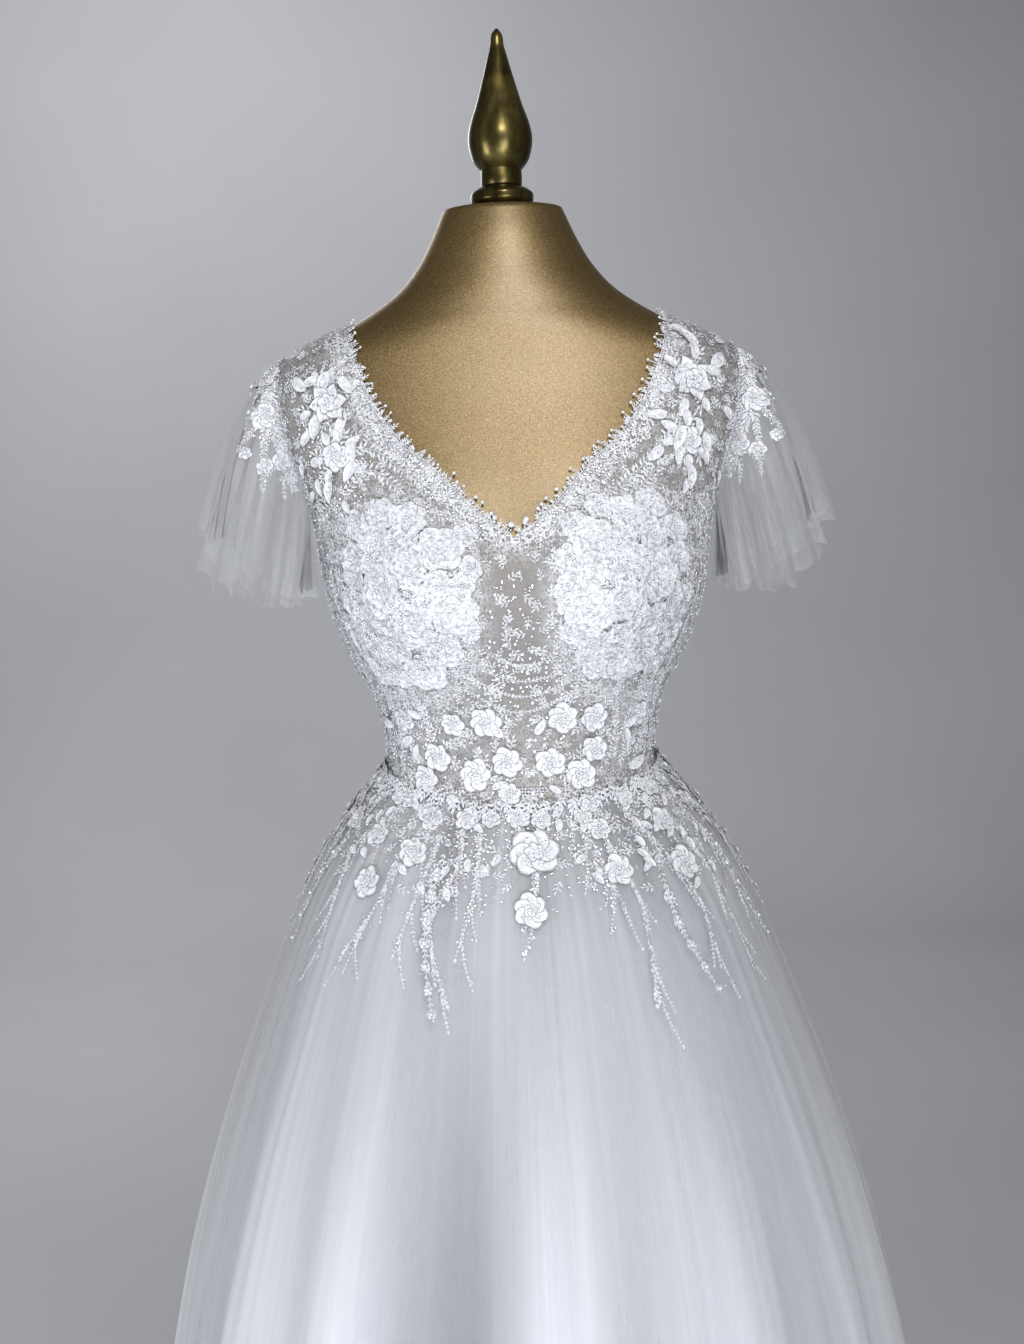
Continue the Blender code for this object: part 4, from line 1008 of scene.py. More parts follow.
def makeStand():
    profile = np.vstack([((0, 0),), smoothed(finial["ring"], finial["ringRows"]), finial["groove"],
                         finial["collar"], smoothed(finial["flame"], finial["flameRows"])])
    turnedPiece("finial_brass", profile + (finial["foot"] * 1000, 0), 96, "brass", "aged_brass", "finial")
    turnedPiece("pole_steel", stand["pole"], 48, "metal", "stand_metal", "stand_pole")
    bend = np.linspace(0, pi / 2, 7)
    z, r, size = stand["rim"]
    rim = np.column_stack([z + size * np.sin(bend), r + size * np.cos(bend)])
    z, r, size = stand["neck"]
    neck = np.column_stack([z - size * np.sin(bend), r - size * np.cos(bend)])[::-1]
    base = np.vstack([stand["foot"], rim, stand["plate"], neck, stand["top"]])
    turnedPiece("base_steel", base, 96, "metal", "stand_metal", "stand_base")


makeForm()
makeStand()
print("form and stand made")


# Bodice: cups and bones under the net, then the net itself

cupRing = {"rings": 22, "around": 96, "thick": 0.0016}
boneShape = {"top": (0.098, 1.112), "foot": (0.086, 1.044), "wide": 0.011, "thick": 0.0012, "line": 0.78}


def makeCup(label, side):
    # An oval laid on the form by real distances, thickest in the middle and rounded off at its edge.
    share = np.sin(np.linspace(0.02, pi / 2, cupRing["rings"]))[:, None]
    angle = -np.arange(cupRing["around"])[None, :] * 2 * pi / cupRing["around"]
    middle = side * turnAt(cups["across"], cups["height"])
    u, v = shifted(onBody, middle + 0 * share * angle, cups["height"] + 0 * share * angle,
                   cups["halfWide"] * share * np.sin(angle), cups["halfTall"] * share * np.cos(angle))
    thick = cupRing["thick"] * (1 - 0.4 * share**4) * np.sqrt(np.clip(1.0001 - share**24, 0, 1)) + 0 * angle
    outer = onBody(u, v, lifts["cup"] + thick)
    points = np.concatenate([onBody(u, v, lifts["cup"]), outer[::-1]])
    faces = gridFaces(len(points), cupRing["around"], True)
    made = makePiece(f"cup_satin_{label}", points, faces, "cup", "cup_satin", (f"cup_{label}",),
                     tone=np.ones(points.size // 3))


def makeBone(label, side):
    # A flat channel down the net's inside, with a raised middle and a sunk line along each edge.
    s, t = np.meshgrid(np.linspace(0, 1, 40), np.linspace(-1, 1, 15), indexing="ij")
    across = boneShape["top"][0] * (1 - s) + boneShape["foot"][0] * s + t * boneShape["wide"] / 2 * side
    height = boneShape["top"][1] * (1 - s) + boneShape["foot"][1] * s
    sunk = bell(np.abs(t) - boneShape["line"], 0.08)
    rise = boneShape["thick"] * (1 - 0.45 * sunk) * np.sqrt(np.clip(1.0001 - t**8, 0, 1))
    points = onBody(side * turnAt(across, height), height, lifts["bone"] + rise)
    makePiece(f"bone_channel_{label}", points, gridFaces(*s.shape)[:, ::-1], "cup", "cup_satin",
              (f"bone_{label}",), tone=0.8 + 0 * rise)


def netFields(turn, height, points, rims):
    # How much the net covers, and how thick its embroidery is, from 0 to 1.
    across = np.abs(points[..., 0])
    reach = cupReach(across, height)
    onFront = np.cos(turn) > 0
    cup = (1 - ease(0.7, 0.9, reach)) * onFront
    band = bell(np.linalg.norm(points[:, None] - rims[None], axis=-1).min(1), 0.02, 4)
    belly = ease(1.1, 1.14, height) * (1 - ease(1.225, 1.245, height))
    middle = bell(across, 0.032, 4) * onFront * belly
    around = bell(reach - 1.0, 0.22) * onFront
    lace = (0.34 + 0.7 * band + 0.5 * ease(0.095, 0.13, across) * (1 - ease(1.27, 1.32, height))
            + 0.1 * (1 - ease(1.06, 1.13, height)) + 0.12 * ease(1.28, 1.33, height) + 0.5 * around
            + 0.6 * bell(height - seamHeight(turn), 0.014) - 0.5 * middle)
    lace = np.clip(lace, 0, 1)
    veil = 0.7 - 0.12 * ease(1.27, 1.33, height) + 0.2 * band + 0.16 * around
    return {"veil": veil * (1 - 0.95 * cup), "lace": lace + (1 - lace) * cup}


def makeNet(name, half, signs, node):
    # One half panel, or the front's two halves welded where they share the centre line.
    turn, height = halves[half]
    rim = rimLines[half]
    rims = np.concatenate([bodice(rim[:, 0] * s, rim[:, 1], 0) for s in (1, -1)])
    faces = gridFaces(*turn.shape)
    faces = np.concatenate([faces[:, ::s] + k * turn.size for k, s in enumerate(signs)])
    places = np.concatenate([np.column_stack([s * turn.ravel(), height.ravel()]) for s in signs])
    if half == "back":
        faces = faces[:, ::-1]
    places, index = np.unique(np.round(places, 7) + 0.0, axis=0, return_inverse=True)
    turn, height = places.T
    ripple = 0.00025 * np.sin(9 * turn + 60 * height) * np.sin(140 * height + 3 * turn)
    points = bodice(turn, height, ripple - 0.0003)
    return makePiece(name, points, index.reshape(-1)[faces], "net", "net", (node,),
                     **netFields(turn, height, points, rims))


for label, side in sides.items():
    makeCup(label, side)
    makeBone(label, side)
netFront = makeNet("net_front", "front", (1, -1), "bodice_front")
netBackRight = makeNet("net_back_right", "back", (1,), "bodice_back_right")
netBackLeft = makeNet("net_back_left", "back", (-1,), "bodice_back_left")
print("bodice made")


# Sleeves: an outer and a shorter under layer of raw-edged tulle

sleeveShells = {  # the shift and lift of the layer's folds, its length, columns, rows, seed, flat size
    "outer": (0.0, 0.0, 1.0, 300, 30, 40, (0.62, 0.12)),
    "under": (0.42, -0.0025, 0.95, 240, 24, 47, (0.6, 0.11)),
}
sleeveFolds = {"crease": 0.0082, "sharpness": 0.55, "fine": 0.0018, "ragged": 0.034, "short": 0.015}


def wander(angle, orders, seed):
    # A smooth closed wave: sines of whole orders with chance phases, from about -1 to 1.
    own = np.random.default_rng(seed)
    total = 0 * angle
    for order in orders:
        total = total + own.uniform(0.5, 1.0) * np.sin(order * angle + own.uniform(0, 2 * pi))
    return total / (0.55 * len(orders))


def sleeveFlare(around, down, side, lag, lift, length, seed):
    # The solid's sleeve, with sharper folds that grow down it and a raw hem that wanders.
    ragged = sleeveFolds["ragged"] * wander(around, (5, 9, 14, 23), seed)
    down = down * (length * (1 + ragged) - sleeveFolds["short"])
    grow = np.clip(down, 0, 2) ** 1.3
    crease = wander(around + lag + 0.12 * down, (9, 14, 19), seed + 1)
    crease = sleeveFolds["crease"] * np.sign(crease) * np.abs(crease) ** sleeveFolds["sharpness"] * grow
    fine = sleeveFolds["fine"] * wander(around + lag + 0.25 * down, (29, 41, 53), seed + 2) * grow
    out = crease + fine + lift * np.clip(down * 6, 0, 1)
    return sleevePoint(around, down, side) + sleeveOut(around, side) * out[..., None]


for label, side in sides.items():
    for layer, (lag, lift, length, columns, rows, seed, flat) in sleeveShells.items():
        u, v = np.meshgrid(np.arange(columns) * 2 * pi / columns, np.linspace(0.004, 1, rows))
        points = sleeveFlare(u, v, side, lag, lift, length, seed + 3 * side)
        made = makePiece(f"sleeve_{layer}_{label}", points, gridFaces(rows, columns, True)[:, ::side],
                         "sleeveTulle", "tulle", (f"sleeve_{label}",) if layer == "outer" else (),
                         gather=np.stack([8 * np.cos(u), 8 * np.sin(u), 1.6 * v], axis=-1),
                         cover=0.85 + 0.45 * (1 - ease(0.0, 0.25, v)) + 0.35 * ease(0.975, 1.0, v),
                         tone=1 + 0 * v)
print("sleeves made")


# Skirt: the lining and two gathered layers of tulle

skirtGrids = {  # columns, rows, finish, slot, nodes, cut width and length, area
    "lining": (240, 40, "lining", "lining",
               [f"skirt_lining_{place}_{label}" for place in ("front", "side", "back") for label in sides],
               (2.1, 1.06), 1.55),
    "inner": (400, 50, "skirtTulle", "tulle", ("skirt_tulle_inner",), (2.5, 1.08), 1.95),
    "outer": (600, 64, "skirtTulle", "tulle", ("skirt_tulle_outer_front", "skirt_tulle_outer_back"),
              (2.8, 1.1), 2.2),
}
skirtCreases = {"lining": (0.45, 0.0), "inner": (0.8, 0.02), "outer": (1.0, 0.0)}  # share, shift round
gathers = {"fine": 0.0005, "broad": 0.0008, "seeds": {"inner": 61, "outer": 71}}


def skirtShell(layer, turn, down):
    # The layer's own surface with its creases and a run of fine gathers that starts at the waist.
    share, shift = skirtCreases[layer]
    out = share * creaseDepth(turn + shift, down)
    if layer in gathers["seeds"]:
        seed = gathers["seeds"][layer]
        fine = gathers["fine"] * wander(turn, (61, 74, 97), seed) * (1 - 0.5 * down)
        broad = gathers["broad"] * wander(turn, (31, 43), seed + 1)
        out = out + fine * ease(0.0, 0.04, down) + broad * ease(0.1, 0.6, down)
    return skirtPoint(layer, turn, down, skirt["skin"]) + swingWay(turn) * out[..., None]


def overSkirt(turn, height, lift):
    # A point above the outer tulle, where the lace lies.
    turn, height, lift = spread(turn, height, lift)
    out = unit(swingWay(turn) + (0, 0, 0.35))
    return skirtShell("outer", turn, skirtDown(turn, height)) + out * (lift + skirt["skin"])[..., None]


for layer, (columns, rows, finish, slotName, nodes, flat, area) in skirtGrids.items():
    u, v = np.meshgrid(np.arange(columns) * 2 * pi / columns, np.linspace(0, 1, rows) ** 1.25)
    ridge = creaseDepth(u, v) * 1000
    # Painted light and shade in the skirt's colour: darker near the waist seam and in crease troughs,
    # lighter on ridges, and lighter and darker in the bands of the shades table.
    tone = 0.64 + 0.26 * ease(0.0, 0.12, v) + 0.16 * ease(0.1, 0.5, v) + 0.036 * ridge
    made = makePiece(f"skirt_{layer}", skirtShell(layer, u, v), gridFaces(rows, columns, True)[:, ::-1],
                     finish, slotName, nodes,
                     gather=np.stack([10 * np.cos(u), 10 * np.sin(u), 0.9 * v], axis=-1),
                     cover=(1 + 0.04 * ridge) * (2 - ease(0.0, 0.16, v)) + 0.3 * ease(0.99, 1.0, v),
                     tone=tone + 12 * creaseDepth(u, v, "shades"))
print("skirt made")


# Raised flowers and sprays that are solids of their own, with detailed lace for each

flowerRows = {  # what they lie on: name, across, height and radius in mm, degrees it is spun
    "bodice": (
        ("shoulder_left", -158, 1380, 21, 20), ("shoulder_right", 160, 1390, 22, 50),
        ("armhole_left", -152, 1334, 14, 0), ("armhole_right", 154, 1338, 14, 30),
        ("cup_upper_left", -64, 1250, 21, 25), ("cup_upper_right", 66, 1254, 21, 40),
        ("cup_side_left", -112, 1218, 23, 65), ("cup_side_right", 116, 1222, 23, 5),
        ("cup_middle_left", -56, 1202, 23, 30), ("cup_middle_right", 62, 1200, 24, 55),
        ("cup_lower_left", -78, 1148, 19, 15), ("cup_lower_right", 82, 1152, 19, 35),
        ("midriff_left", -30, 1100, 15, 25), ("midriff_right", 36, 1102, 15, 60),
        ("waist_left", -13, 1062, 14.5, 45), ("waist_right", 24, 1060, 14.5, 10),
        ("side_left", -72, 1066, 14, 35), ("side_right", 62, 1070, 13, 20),
    ),
    "skirt": (
        ("drop_centre", 8, 986, 23, 18), ("drop_lower", 3, 942, 16, 50), ("drop_left", -98, 985, 15, 5),
        ("drop_right", 80, 968, 15, 40), ("hip_right", 140, 965, 16, 70), ("hip_left", -140, 958, 15, 70),
    ),
}
sprayRows = (  # name, degrees round and height in mm of the top, then of the foot
    ("front_left", -24, 985, -20, 862), ("front_right", 38, 960, 43, 862),
    ("side_left", -68, 990, -72, 895), ("side_right", 68, 985, 72, 885), ("hip_left", -92, 985, -96, 890),
    ("hip_right", 92, 985, 96, 890), ("back_left", -135, 990, -139, 880),
    ("back_right", 135, 990, 139, 880), ("back_middle", 180, 995, 180, 865),
)


def skirtTurn(across, height):
    # The turn on the skirt's front at which its outer tulle is this far across.
    turns = np.radians(np.linspace(-90, 90, 361))
    return float(np.interp(across, overSkirt(turns, height, 0)[:, 0], turns))


def roundPlaces(rows):
    # Rows of degrees round and lengths in mm, as rows of turns and metres.
    rows = np.array(rows, float)
    return np.column_stack([np.radians(rows[:, 0]), rows[:, 1:] / 1000])


for place, rows in flowerRows.items():
    onNet = place == "bodice"
    for name, *sizes, spun in rows:
        across, height, radius = np.array(sizes) / 1000
        bloom(f"lace_flower_{name}", bodice if onNet else overSkirt,
              turnAt(across, height) if onNet else skirtTurn(across, height), height, radius * 1.08,
              radians(spun), 0.001, "lace_front" if onNet else "lace_skirt",
              "rose" if "cup" in name else "star" if "shoulder" in name else "flower")
        finishKept(f"lace_flower_{name}", (f"flower_{name}",))
for name, *ends in sprayRows:
    top, foot = roundPlaces((ends[:2], ends[2:]))
    bend = top * (0.6, 0.55) + foot * (0.4, 0.45) + (radians(2.2 if ends[0] % 2 else -2.2), 0)
    path = (top, bend, foot)
    vine(f"lace_spray_{name}", overSkirt, path, "spray", "lace_skirt")
    line = curveThrough(overSkirt, path, 0.019)[1:]
    bloom(f"lace_spray_{name}", overSkirt, *line.T, np.linspace(0.007, 0.0046, len(line)), lift=0.0008,
          trim="lace_skirt")
    finishKept(f"lace_spray_{name}", (f"spray_{name}",))
print("raised flowers and sprays made")


# Lace of the net and of the skirt: the edges, then the front, the back, the sleeves and the skirt

areas = {  # turns from and to, heights from and to, metres to a radian
    "cups": (-pi / 2, pi / 2, 1.11, 1.3, 0.13), "front": (-pi / 2, pi / 2, 1.02, 1.46, 0.13),
    "beads": (-0.26, 0.26, 1.166, 1.25, 0.1), "middle": (-0.3, 0.3, 1.155, 1.262, 0.1),
    "backLeft": (-pi, -pi / 2, 1.05, 1.46, 0.13), "backRight": (pi / 2, pi, 1.05, 1.46, 0.13),
    "skirtSprigs": (-pi, pi, 0.955, 1.045, 0.16), "skirtSequins": (-pi, pi, 0.93, 1.045, 0.16),
    "skirtStitches": (-pi, pi, 0.9, 1.045, 0.16),
}
edgeBand = {  # how far each row lies from the edge, its stitches and the degrees that they lean
    "rows": (0.0035, 0.0085, 0.0135, 0.0185), "leaf": 0.0052, "step": 0.003, "leans": (55, 125),
    "specks": ((0.28, "sequin", 0.0013), (0.12, "bead", 0.001)),  # share of the places, shape, radius
}
picot = {  # sizes in metres, and how many steps lie between two twigs and between two stalks
    "step": 0.0024, "cords": (0.0, 0.002), "cord": 0.0005, "stitch": (0.003, 0.006), "stitchShare": 0.75,
    "twig": (0.005, 0.009), "twigEvery": 3, "stalk": (0.005, 0.0095), "stalkEvery": 4, "ball": 0.0013,
}


def bandAlong(piece, surface, line, inward):
    # Rows of satin stitches beside an edge, leaning one way and then the other, with sequins between.
    edge = curveThrough(surface, line, edgeBand["step"])
    heading = headings(surface, edge)
    for k, away in enumerate(edgeBand["rows"]):
        u, v = shifted(surface, *edge.T, inward * np.cos(heading) * away, -inward * np.sin(heading) * away)
        spin = heading + inward * radians(edgeBand["leans"][k % 2]) + chance.normal(0, 0.25, len(u))
        size = edgeBand["leaf"] * chance.uniform(0.7, 1.15, len(u)) * (1 - 0.12 * k)
        some = chance.random(len(u)) > 0.1 + 0.1 * k
        lay(piece, surface, "leaflet", u[some], v[some], spin[some], size[some])
        for share, shapeName, radius in edgeBand["specks"]:
            some = chance.random(len(u)) < share
            sprinkle(piece, surface, u[some], v[some], shapeName, radius)


def picotAlong(piece, surface, line, outward, trim):
    # The edge itself: two thin cords, short stitches and sprigs past them, and beads on stalks, which
    # are larger near the start of the line.
    edge = curveThrough(surface, line, picot["step"])
    heading = headings(surface, edge)
    for inside in picot["cords"]:
        a, b = -outward * np.cos(heading) * inside, outward * np.sin(heading) * inside
        stem(piece, surface, np.column_stack(shifted(surface, *edge.T, a, b)), picot["cord"], 0.0004)
    some = chance.random(len(edge)) < picot["stitchShare"]
    spin = heading + outward * np.radians(chance.uniform(50, 130, len(edge)))
    lay(piece, surface, "leaflet", *edge[some].T, spin[some], chance.uniform(*picot["stitch"], some.sum()))
    some = np.arange(1, len(edge) - 1, picot["twigEvery"])
    some = some + chance.integers(0, 2, len(some))
    size = chance.uniform(*picot["twig"], len(some))
    lay(piece, surface, "twig", *edge[some].T, spin[some], size, 0.0003)
    some = np.arange(2, len(edge) - 1, picot["stalkEvery"])
    some = some + chance.integers(-1, 2, len(some))
    far = chance.uniform(*picot["stalk"], len(some))
    lay(piece, surface, "stalk", *edge[some].T, spin[some], far, 0.0006)
    u, v = shifted(surface, *edge[some].T, np.sin(spin[some]) * far, np.cos(spin[some]) * far)
    larger = 1 + np.exp(-np.arange(len(some)) / 4)
    lay(trim, surface, "ball", u, v, 0, picot["ball"] * larger * chance.uniform(0.85, 1.15, len(some)))


def armholeVine(piece, side, way, reach, start):
    # Beside the armhole from its top to its foot; way is -1 on the front and 1 on the back.
    around = np.linspace(radians(start), radians(180 - start), 14)
    turn = side * (pi / 2 + way * (reach + 0.02) * np.sin(around))
    height = sleeve["middle"] + (sleeve["tall"] - 0.004) * np.cos(around)
    vine(piece, bodice, np.column_stack([turn, height]), "armhole")


def sprigs(piece, surface, u, v, size):
    # Twigs turned at random, with a bead beside each second one.
    spin = chance.uniform(0, 2 * pi, len(u))
    lay(piece, surface, "twig", u, v, spin, size * chance.uniform(0.8, 1.25, len(u)), 0.0001)
    sprinkle(piece, surface, *shifted(surface, u[::2], v[::2], 0.002, 0.002), "bead", 0.0009)


def jittered(area, step, chanceOf):
    # Places on a net of squares, each moved by chance, and kept where a chance function says so.
    u0, u1, v0, v1, perU = areas[area]
    u, v = np.meshgrid(np.arange(u0, u1, step / perU), np.arange(v0, v1, step))
    u = (u + chance.uniform(-0.42, 0.42, u.shape) * step / perU).ravel()
    v = (v + chance.uniform(-0.42, 0.42, v.shape) * step).ravel()
    some = chance.random(len(u)) < chanceOf(u, v)
    return u[some], v[some]


def insideNet(u, v, margin=0.006):
    # Whether a place is on the net: below the neck edge, inside the armhole and above the waist.
    front = np.cos(u) > 0
    spot = acrossAt(u, v)
    frontEdge = neckTable.at(np.clip(spot, 0, neckPoint[0]))[..., 0]
    below = v < np.where(front, frontEdge, scoopHeight(np.clip(spot / neckPoint[0], 0, 1))) - margin
    reach = np.where(front, sleeve["front"], sleeve["back"])
    rise = np.clip((v - sleeve["middle"]) / sleeve["tall"], -1, 1)
    turn = np.where(front, np.abs(u), pi - np.abs(u))
    past = (pi / 2 - turn) * 0.2 > reach * 0.2 * np.sqrt(1 - rise**2) + margin * 0.8
    clear = past | (v < sleeve["middle"] - sleeve["tall"] - margin)
    return below & clear & (v > seamHeight(u) + margin * 0.6) & (np.abs(u) < pi - 0.02)


def onCup(u, v):
    return cupReach(acrossAt(u, v), v) < 0.8


def frontShare(u, v):
    # The chance of a sprig: few on the cups and the bare middle, most on the sides.
    spot = acrossAt(u, v)
    share = np.select([cupReach(spot, v) < 0.9, (spot < 0.034) & (v > 1.165), (v < 1.125) & (spot < 0.095),
                       v > 1.3], [0.3, 0.18, 0.34, 0.6], 0.9)
    return share * insideNet(u, v)


def backShare(u, v):
    return np.where(v > 1.3, 0.6, 0.9) * insideNet(u, v)


def skirtShare(u, v):
    # The chance of a sprig falls to nothing 84 mm below the waist seam.
    return np.clip(1.2 - (seamHeight(u) - v) / 0.07, 0, 0.9) * (v < seamHeight(u) - 0.004)


def beside(rows, share, spin):
    # Places at a share of each flower's radius from its middle, the way that its spin points.
    return frontPlaces(rows[:, :2] + (rows[:, 2] * share * np.array((np.sin(spin), np.cos(spin)))).T)


frontLace = {  # every table is in mm
    "cups": (  # across, height, radius
        (-134, 1274, 15), (-112, 1282, 17), (-89, 1276, 18), (-42, 1262, 13), (-136, 1244, 17),
        (-89, 1240, 20), (-40, 1234, 12), (-131, 1204, 18), (-85, 1192, 20), (-42, 1184, 12),
        (-106, 1170, 18), (-60, 1166, 16), (-110, 1146, 14), (-116, 1258, 18), (-126, 1178, 15),
        (46, 1240, 13), (94, 1276, 18), (116, 1283, 17), (137, 1262, 16), (92, 1236, 20), (138, 1236, 17),
        (44, 1212, 12), (90, 1206, 20), (134, 1204, 17), (46, 1180, 12), (108, 1178, 18), (124, 1164, 14),
        (66, 1168, 17), (52, 1266, 14), (72, 1282, 14), (116, 1256, 18),
    ),
    "waist": (
        (-58, 1098, 12.5), (63, 1100, 15), (-12, 1032, 11.5), (50, 1047, 16), (-40, 1050, 16.5),
        (-83, 1044, 14.5), (-100, 1100, 13), (102, 1098, 13),
    ),
    "leaves": (  # across, height, degrees it points, length
        (-83, 1103, -60, 18), (-27, 1036, 60, 14), (33, 1030, -55, 14), (91, 1046, 70, 26),
        (-186, 1422, -85, 26), (159, 1430, -70, 22), (183, 1422, 80, 20), (-155, 1408, -150, 26),
        (-147, 1404, 150, 22), (-165, 1402, -110, 20), (161, 1402, 150, 26), (152, 1404, -160, 22),
        (170, 1400, 110, 20), (-173, 1357, -130, 20), (-183, 1332, -160, 18), (-170, 1317, 170, 18),
        (-138, 1326, 0, 22), (-173, 1306, -140, 16), (-147, 1297, 150, 16), (186, 1367, 130, 20),
        (163, 1358, 175, 18), (137, 1360, -90, 20), (144, 1335, 180, 20), (166, 1331, 150, 18),
        (183, 1313, 170, 18), (152, 1306, -160, 16), (-91, 1062, 20, 16), (92, 1072, -20, 16),
        (-176, 1392, -60, 24), (-166, 1372, 200, 26), (-158, 1316, 190, 24), (-134, 1330, 215, 24),
        (-150, 1352, 20, 22), (166, 1416, -20, 26), (176, 1400, 60, 26), (150, 1352, 200, 26),
        (168, 1346, 165, 24), (156, 1318, 185, 24), (132, 1334, 230, 22), (-108, 1092, -70, 24),
        (-92, 1084, -120, 20), (12, 1086, 30, 18), (-16, 1084, -30, 18), (88, 1088, 60, 20),
    ),
    "swag": (  # across and height of the points along each
        ((-26, 1163), (-12, 1155), (3, 1150), (19, 1153), (30, 1161)),
        ((-44, 1155), (-21, 1143), (2, 1136), (27, 1140), (51, 1150)),
        ((-48, 1144), (-22, 1130), (0, 1122), (26, 1127), (50, 1139)),
        ((-47, 1131), (-26, 1117), (-4, 1108), (20, 1112), (48, 1125)),
    ),
    "fern": (
        ((-145, 1300), (-137, 1313), (-123, 1321), (-111, 1316), (-97, 1303)),
        ((-148, 1320), (-132, 1339), (-114, 1336), (-97, 1322), (-79, 1309)),
        ((92, 1297), (101, 1306), (111, 1315), (122, 1327), (134, 1338)),
        ((104, 1294), (115, 1303), (124, 1313), (137, 1323)),
        ((-160, 1290), (-172, 1276), (-170, 1250), (-163, 1222)),
        ((160, 1290), (172, 1276), (171, 1250), (165, 1222)), ((-131, 1392), (-127, 1370), (-119, 1352)),
        ((131, 1396), (128, 1372), (119, 1352)),
    ),
    "vines": (38, 47, 56, 65, 74, 83), "vineFoot": 1.058, "vineTop": 1.19,  # degrees round, heights
    "petal": (0.012, 0.0165), "petalLeaf": 0.017, "petalStep": 0.0165,
    "twig": (0.012, 0.0175), "shoulderLeaf": (0.015, 0.02), "shoulderTwig": 0.019,
    "sprig": 0.0115, "sprigStep": 0.0088, "sequin": 0.0013, "sequinStep": 0.0062,
    "bead": 0.0013, "beadStep": 0.0105, "beadsEach": 4, "middleSprig": 0.0125, "middleStep": 0.012,
    "seamBeads": 14, "seamAcross": (-0.013, 0.02), "seamHeight": 1.0305, "seamRows": (0.0, 0.0026, 0.0052),
}


def laceFront():
    piece, own = "lace_front", frontLace
    rows = np.array(own["cups"]) / 1000
    bloom(piece, bodice, *frontPlaces(rows), rows[:, 2], lift=0.0004, kind="rose")
    u, v = jittered("cups", own["petalStep"], onCup)
    bloom(piece, bodice, u, v, chance.uniform(*own["petal"], len(u)), lift=0.0001, kind="rose")
    lay(piece, bodice, "leaf", u, v, chance.uniform(0, 2 * pi, len(u)), own["petalLeaf"], 0.0006, 0.7)
    rows = np.array(own["waist"]) / 1000
    bloom(piece, bodice, *frontPlaces(rows), rows[:, 2], lift=0.0004)
    raised = np.array([row[1:4] for row in flowerRows["bodice"]]) / 1000
    rows = np.vstack([rows, raised[raised[:, 1] < 1.11]])
    for turned in (0.4, 2.3, 4.1):
        spin = turned + chance.uniform(-0.5, 0.5, len(rows))
        size = chance.uniform(*own["twig"], len(rows))
        lay(piece, bodice, "twig", *beside(rows, 0.85, spin), spin, size)
    rows = np.array(own["leaves"]) / (1000, 1000, 1, 1000)
    lay(piece, bodice, "leaf", *frontPlaces(rows), np.radians(rows[:, 2]), rows[:, 3], 0.0006)
    rows = raised[raised[:, 1] > 1.3]
    for turned in np.radians((15, 75, 135, 195, 255, 315)):
        spin = turned + chance.uniform(-0.4, 0.4, len(rows))
        u, v = beside(rows, 0.75, spin)
        some = insideNet(u, v, 0.01)
        u, v, spin = u[some], v[some], spin[some]
        lay(piece, bodice, "leaf", u, v, spin, chance.uniform(*own["shoulderLeaf"], len(u)), 0.0004, 0.8)
        lay(piece, bodice, "twig", u, v, spin + 0.6, own["shoulderTwig"])
    for kind in ("swag", "fern"):
        for path in own[kind]:
            vine(piece, bodice, np.column_stack(frontPlaces(np.array(path) / 1000)), kind)
    for side in sides.values():
        for degrees in own["vines"]:
            top = own["vineTop"] + chance.uniform(-0.02, 0.03) + 0.1 * (degrees > 60)
            turn = side * radians(degrees) + 0.035 * np.sin(np.arange(5) * 2.1 + degrees)
            vine(piece, bodice, np.column_stack([turn, np.linspace(own["vineFoot"], top, 5)]), "front")
        bandAlong(piece, bodice, (rimLines["front"] * (side, 1))[2:-2], side)
        armholeVine(piece, side, -1, sleeve["front"], 8)
    sprigs(piece, bodice, *jittered("front", own["sprigStep"], frontShare), own["sprig"])
    places = jittered("front", own["sequinStep"], frontShare)
    sprinkle(piece, bodice, *places, "sequin", own["sequin"], 0.0006)
    u, v = jittered("beads", own["beadStep"], lambda u, v: 0.8 * insideNet(u, v))
    for _ in range(own["beadsEach"]):
        near = shifted(bodice, u, v, chance.normal(0, 0.002, len(u)), chance.normal(0, 0.002, len(u)))
        sprinkle(piece, bodice, *near, "bead", own["bead"], 0.0003)
    sprigs(piece, bodice, *jittered("middle", own["middleStep"], insideNet), own["middleSprig"])
    across = np.linspace(*own["seamAcross"], own["seamBeads"])
    u, v = frontPlaces(np.column_stack([across, own["seamHeight"] + 0 * across]))
    for rise in own["seamRows"]:
        sprinkle(piece, bodice, u, v + rise, "bead", 0.0012, 0.0002)
    finishKept(piece)


backLace = {
    "vines": (98, 109, 120, 131, 142, 153, 164, 173), "vineFoot": 1.058, "vineTop": 1.2,
    "flowers": (  # degrees round, height and radius in mm, on both sides
        (168, 1075, 15), (150, 1095, 18), (128, 1078, 16), (106, 1092, 15), (162, 1125, 12),
        (138, 1130, 14), (150, 1345, 20), (130, 1370, 18), (118, 1330, 14), (166, 1355, 14),
        (112, 1200, 14), (140, 1240, 15), (160, 1215, 12), (124, 1400, 17), (146, 1300, 13),
    ),
    "sprig": 0.0115, "sprigStep": 0.009, "sequin": 0.0013, "sequinStep": 0.0068,
}


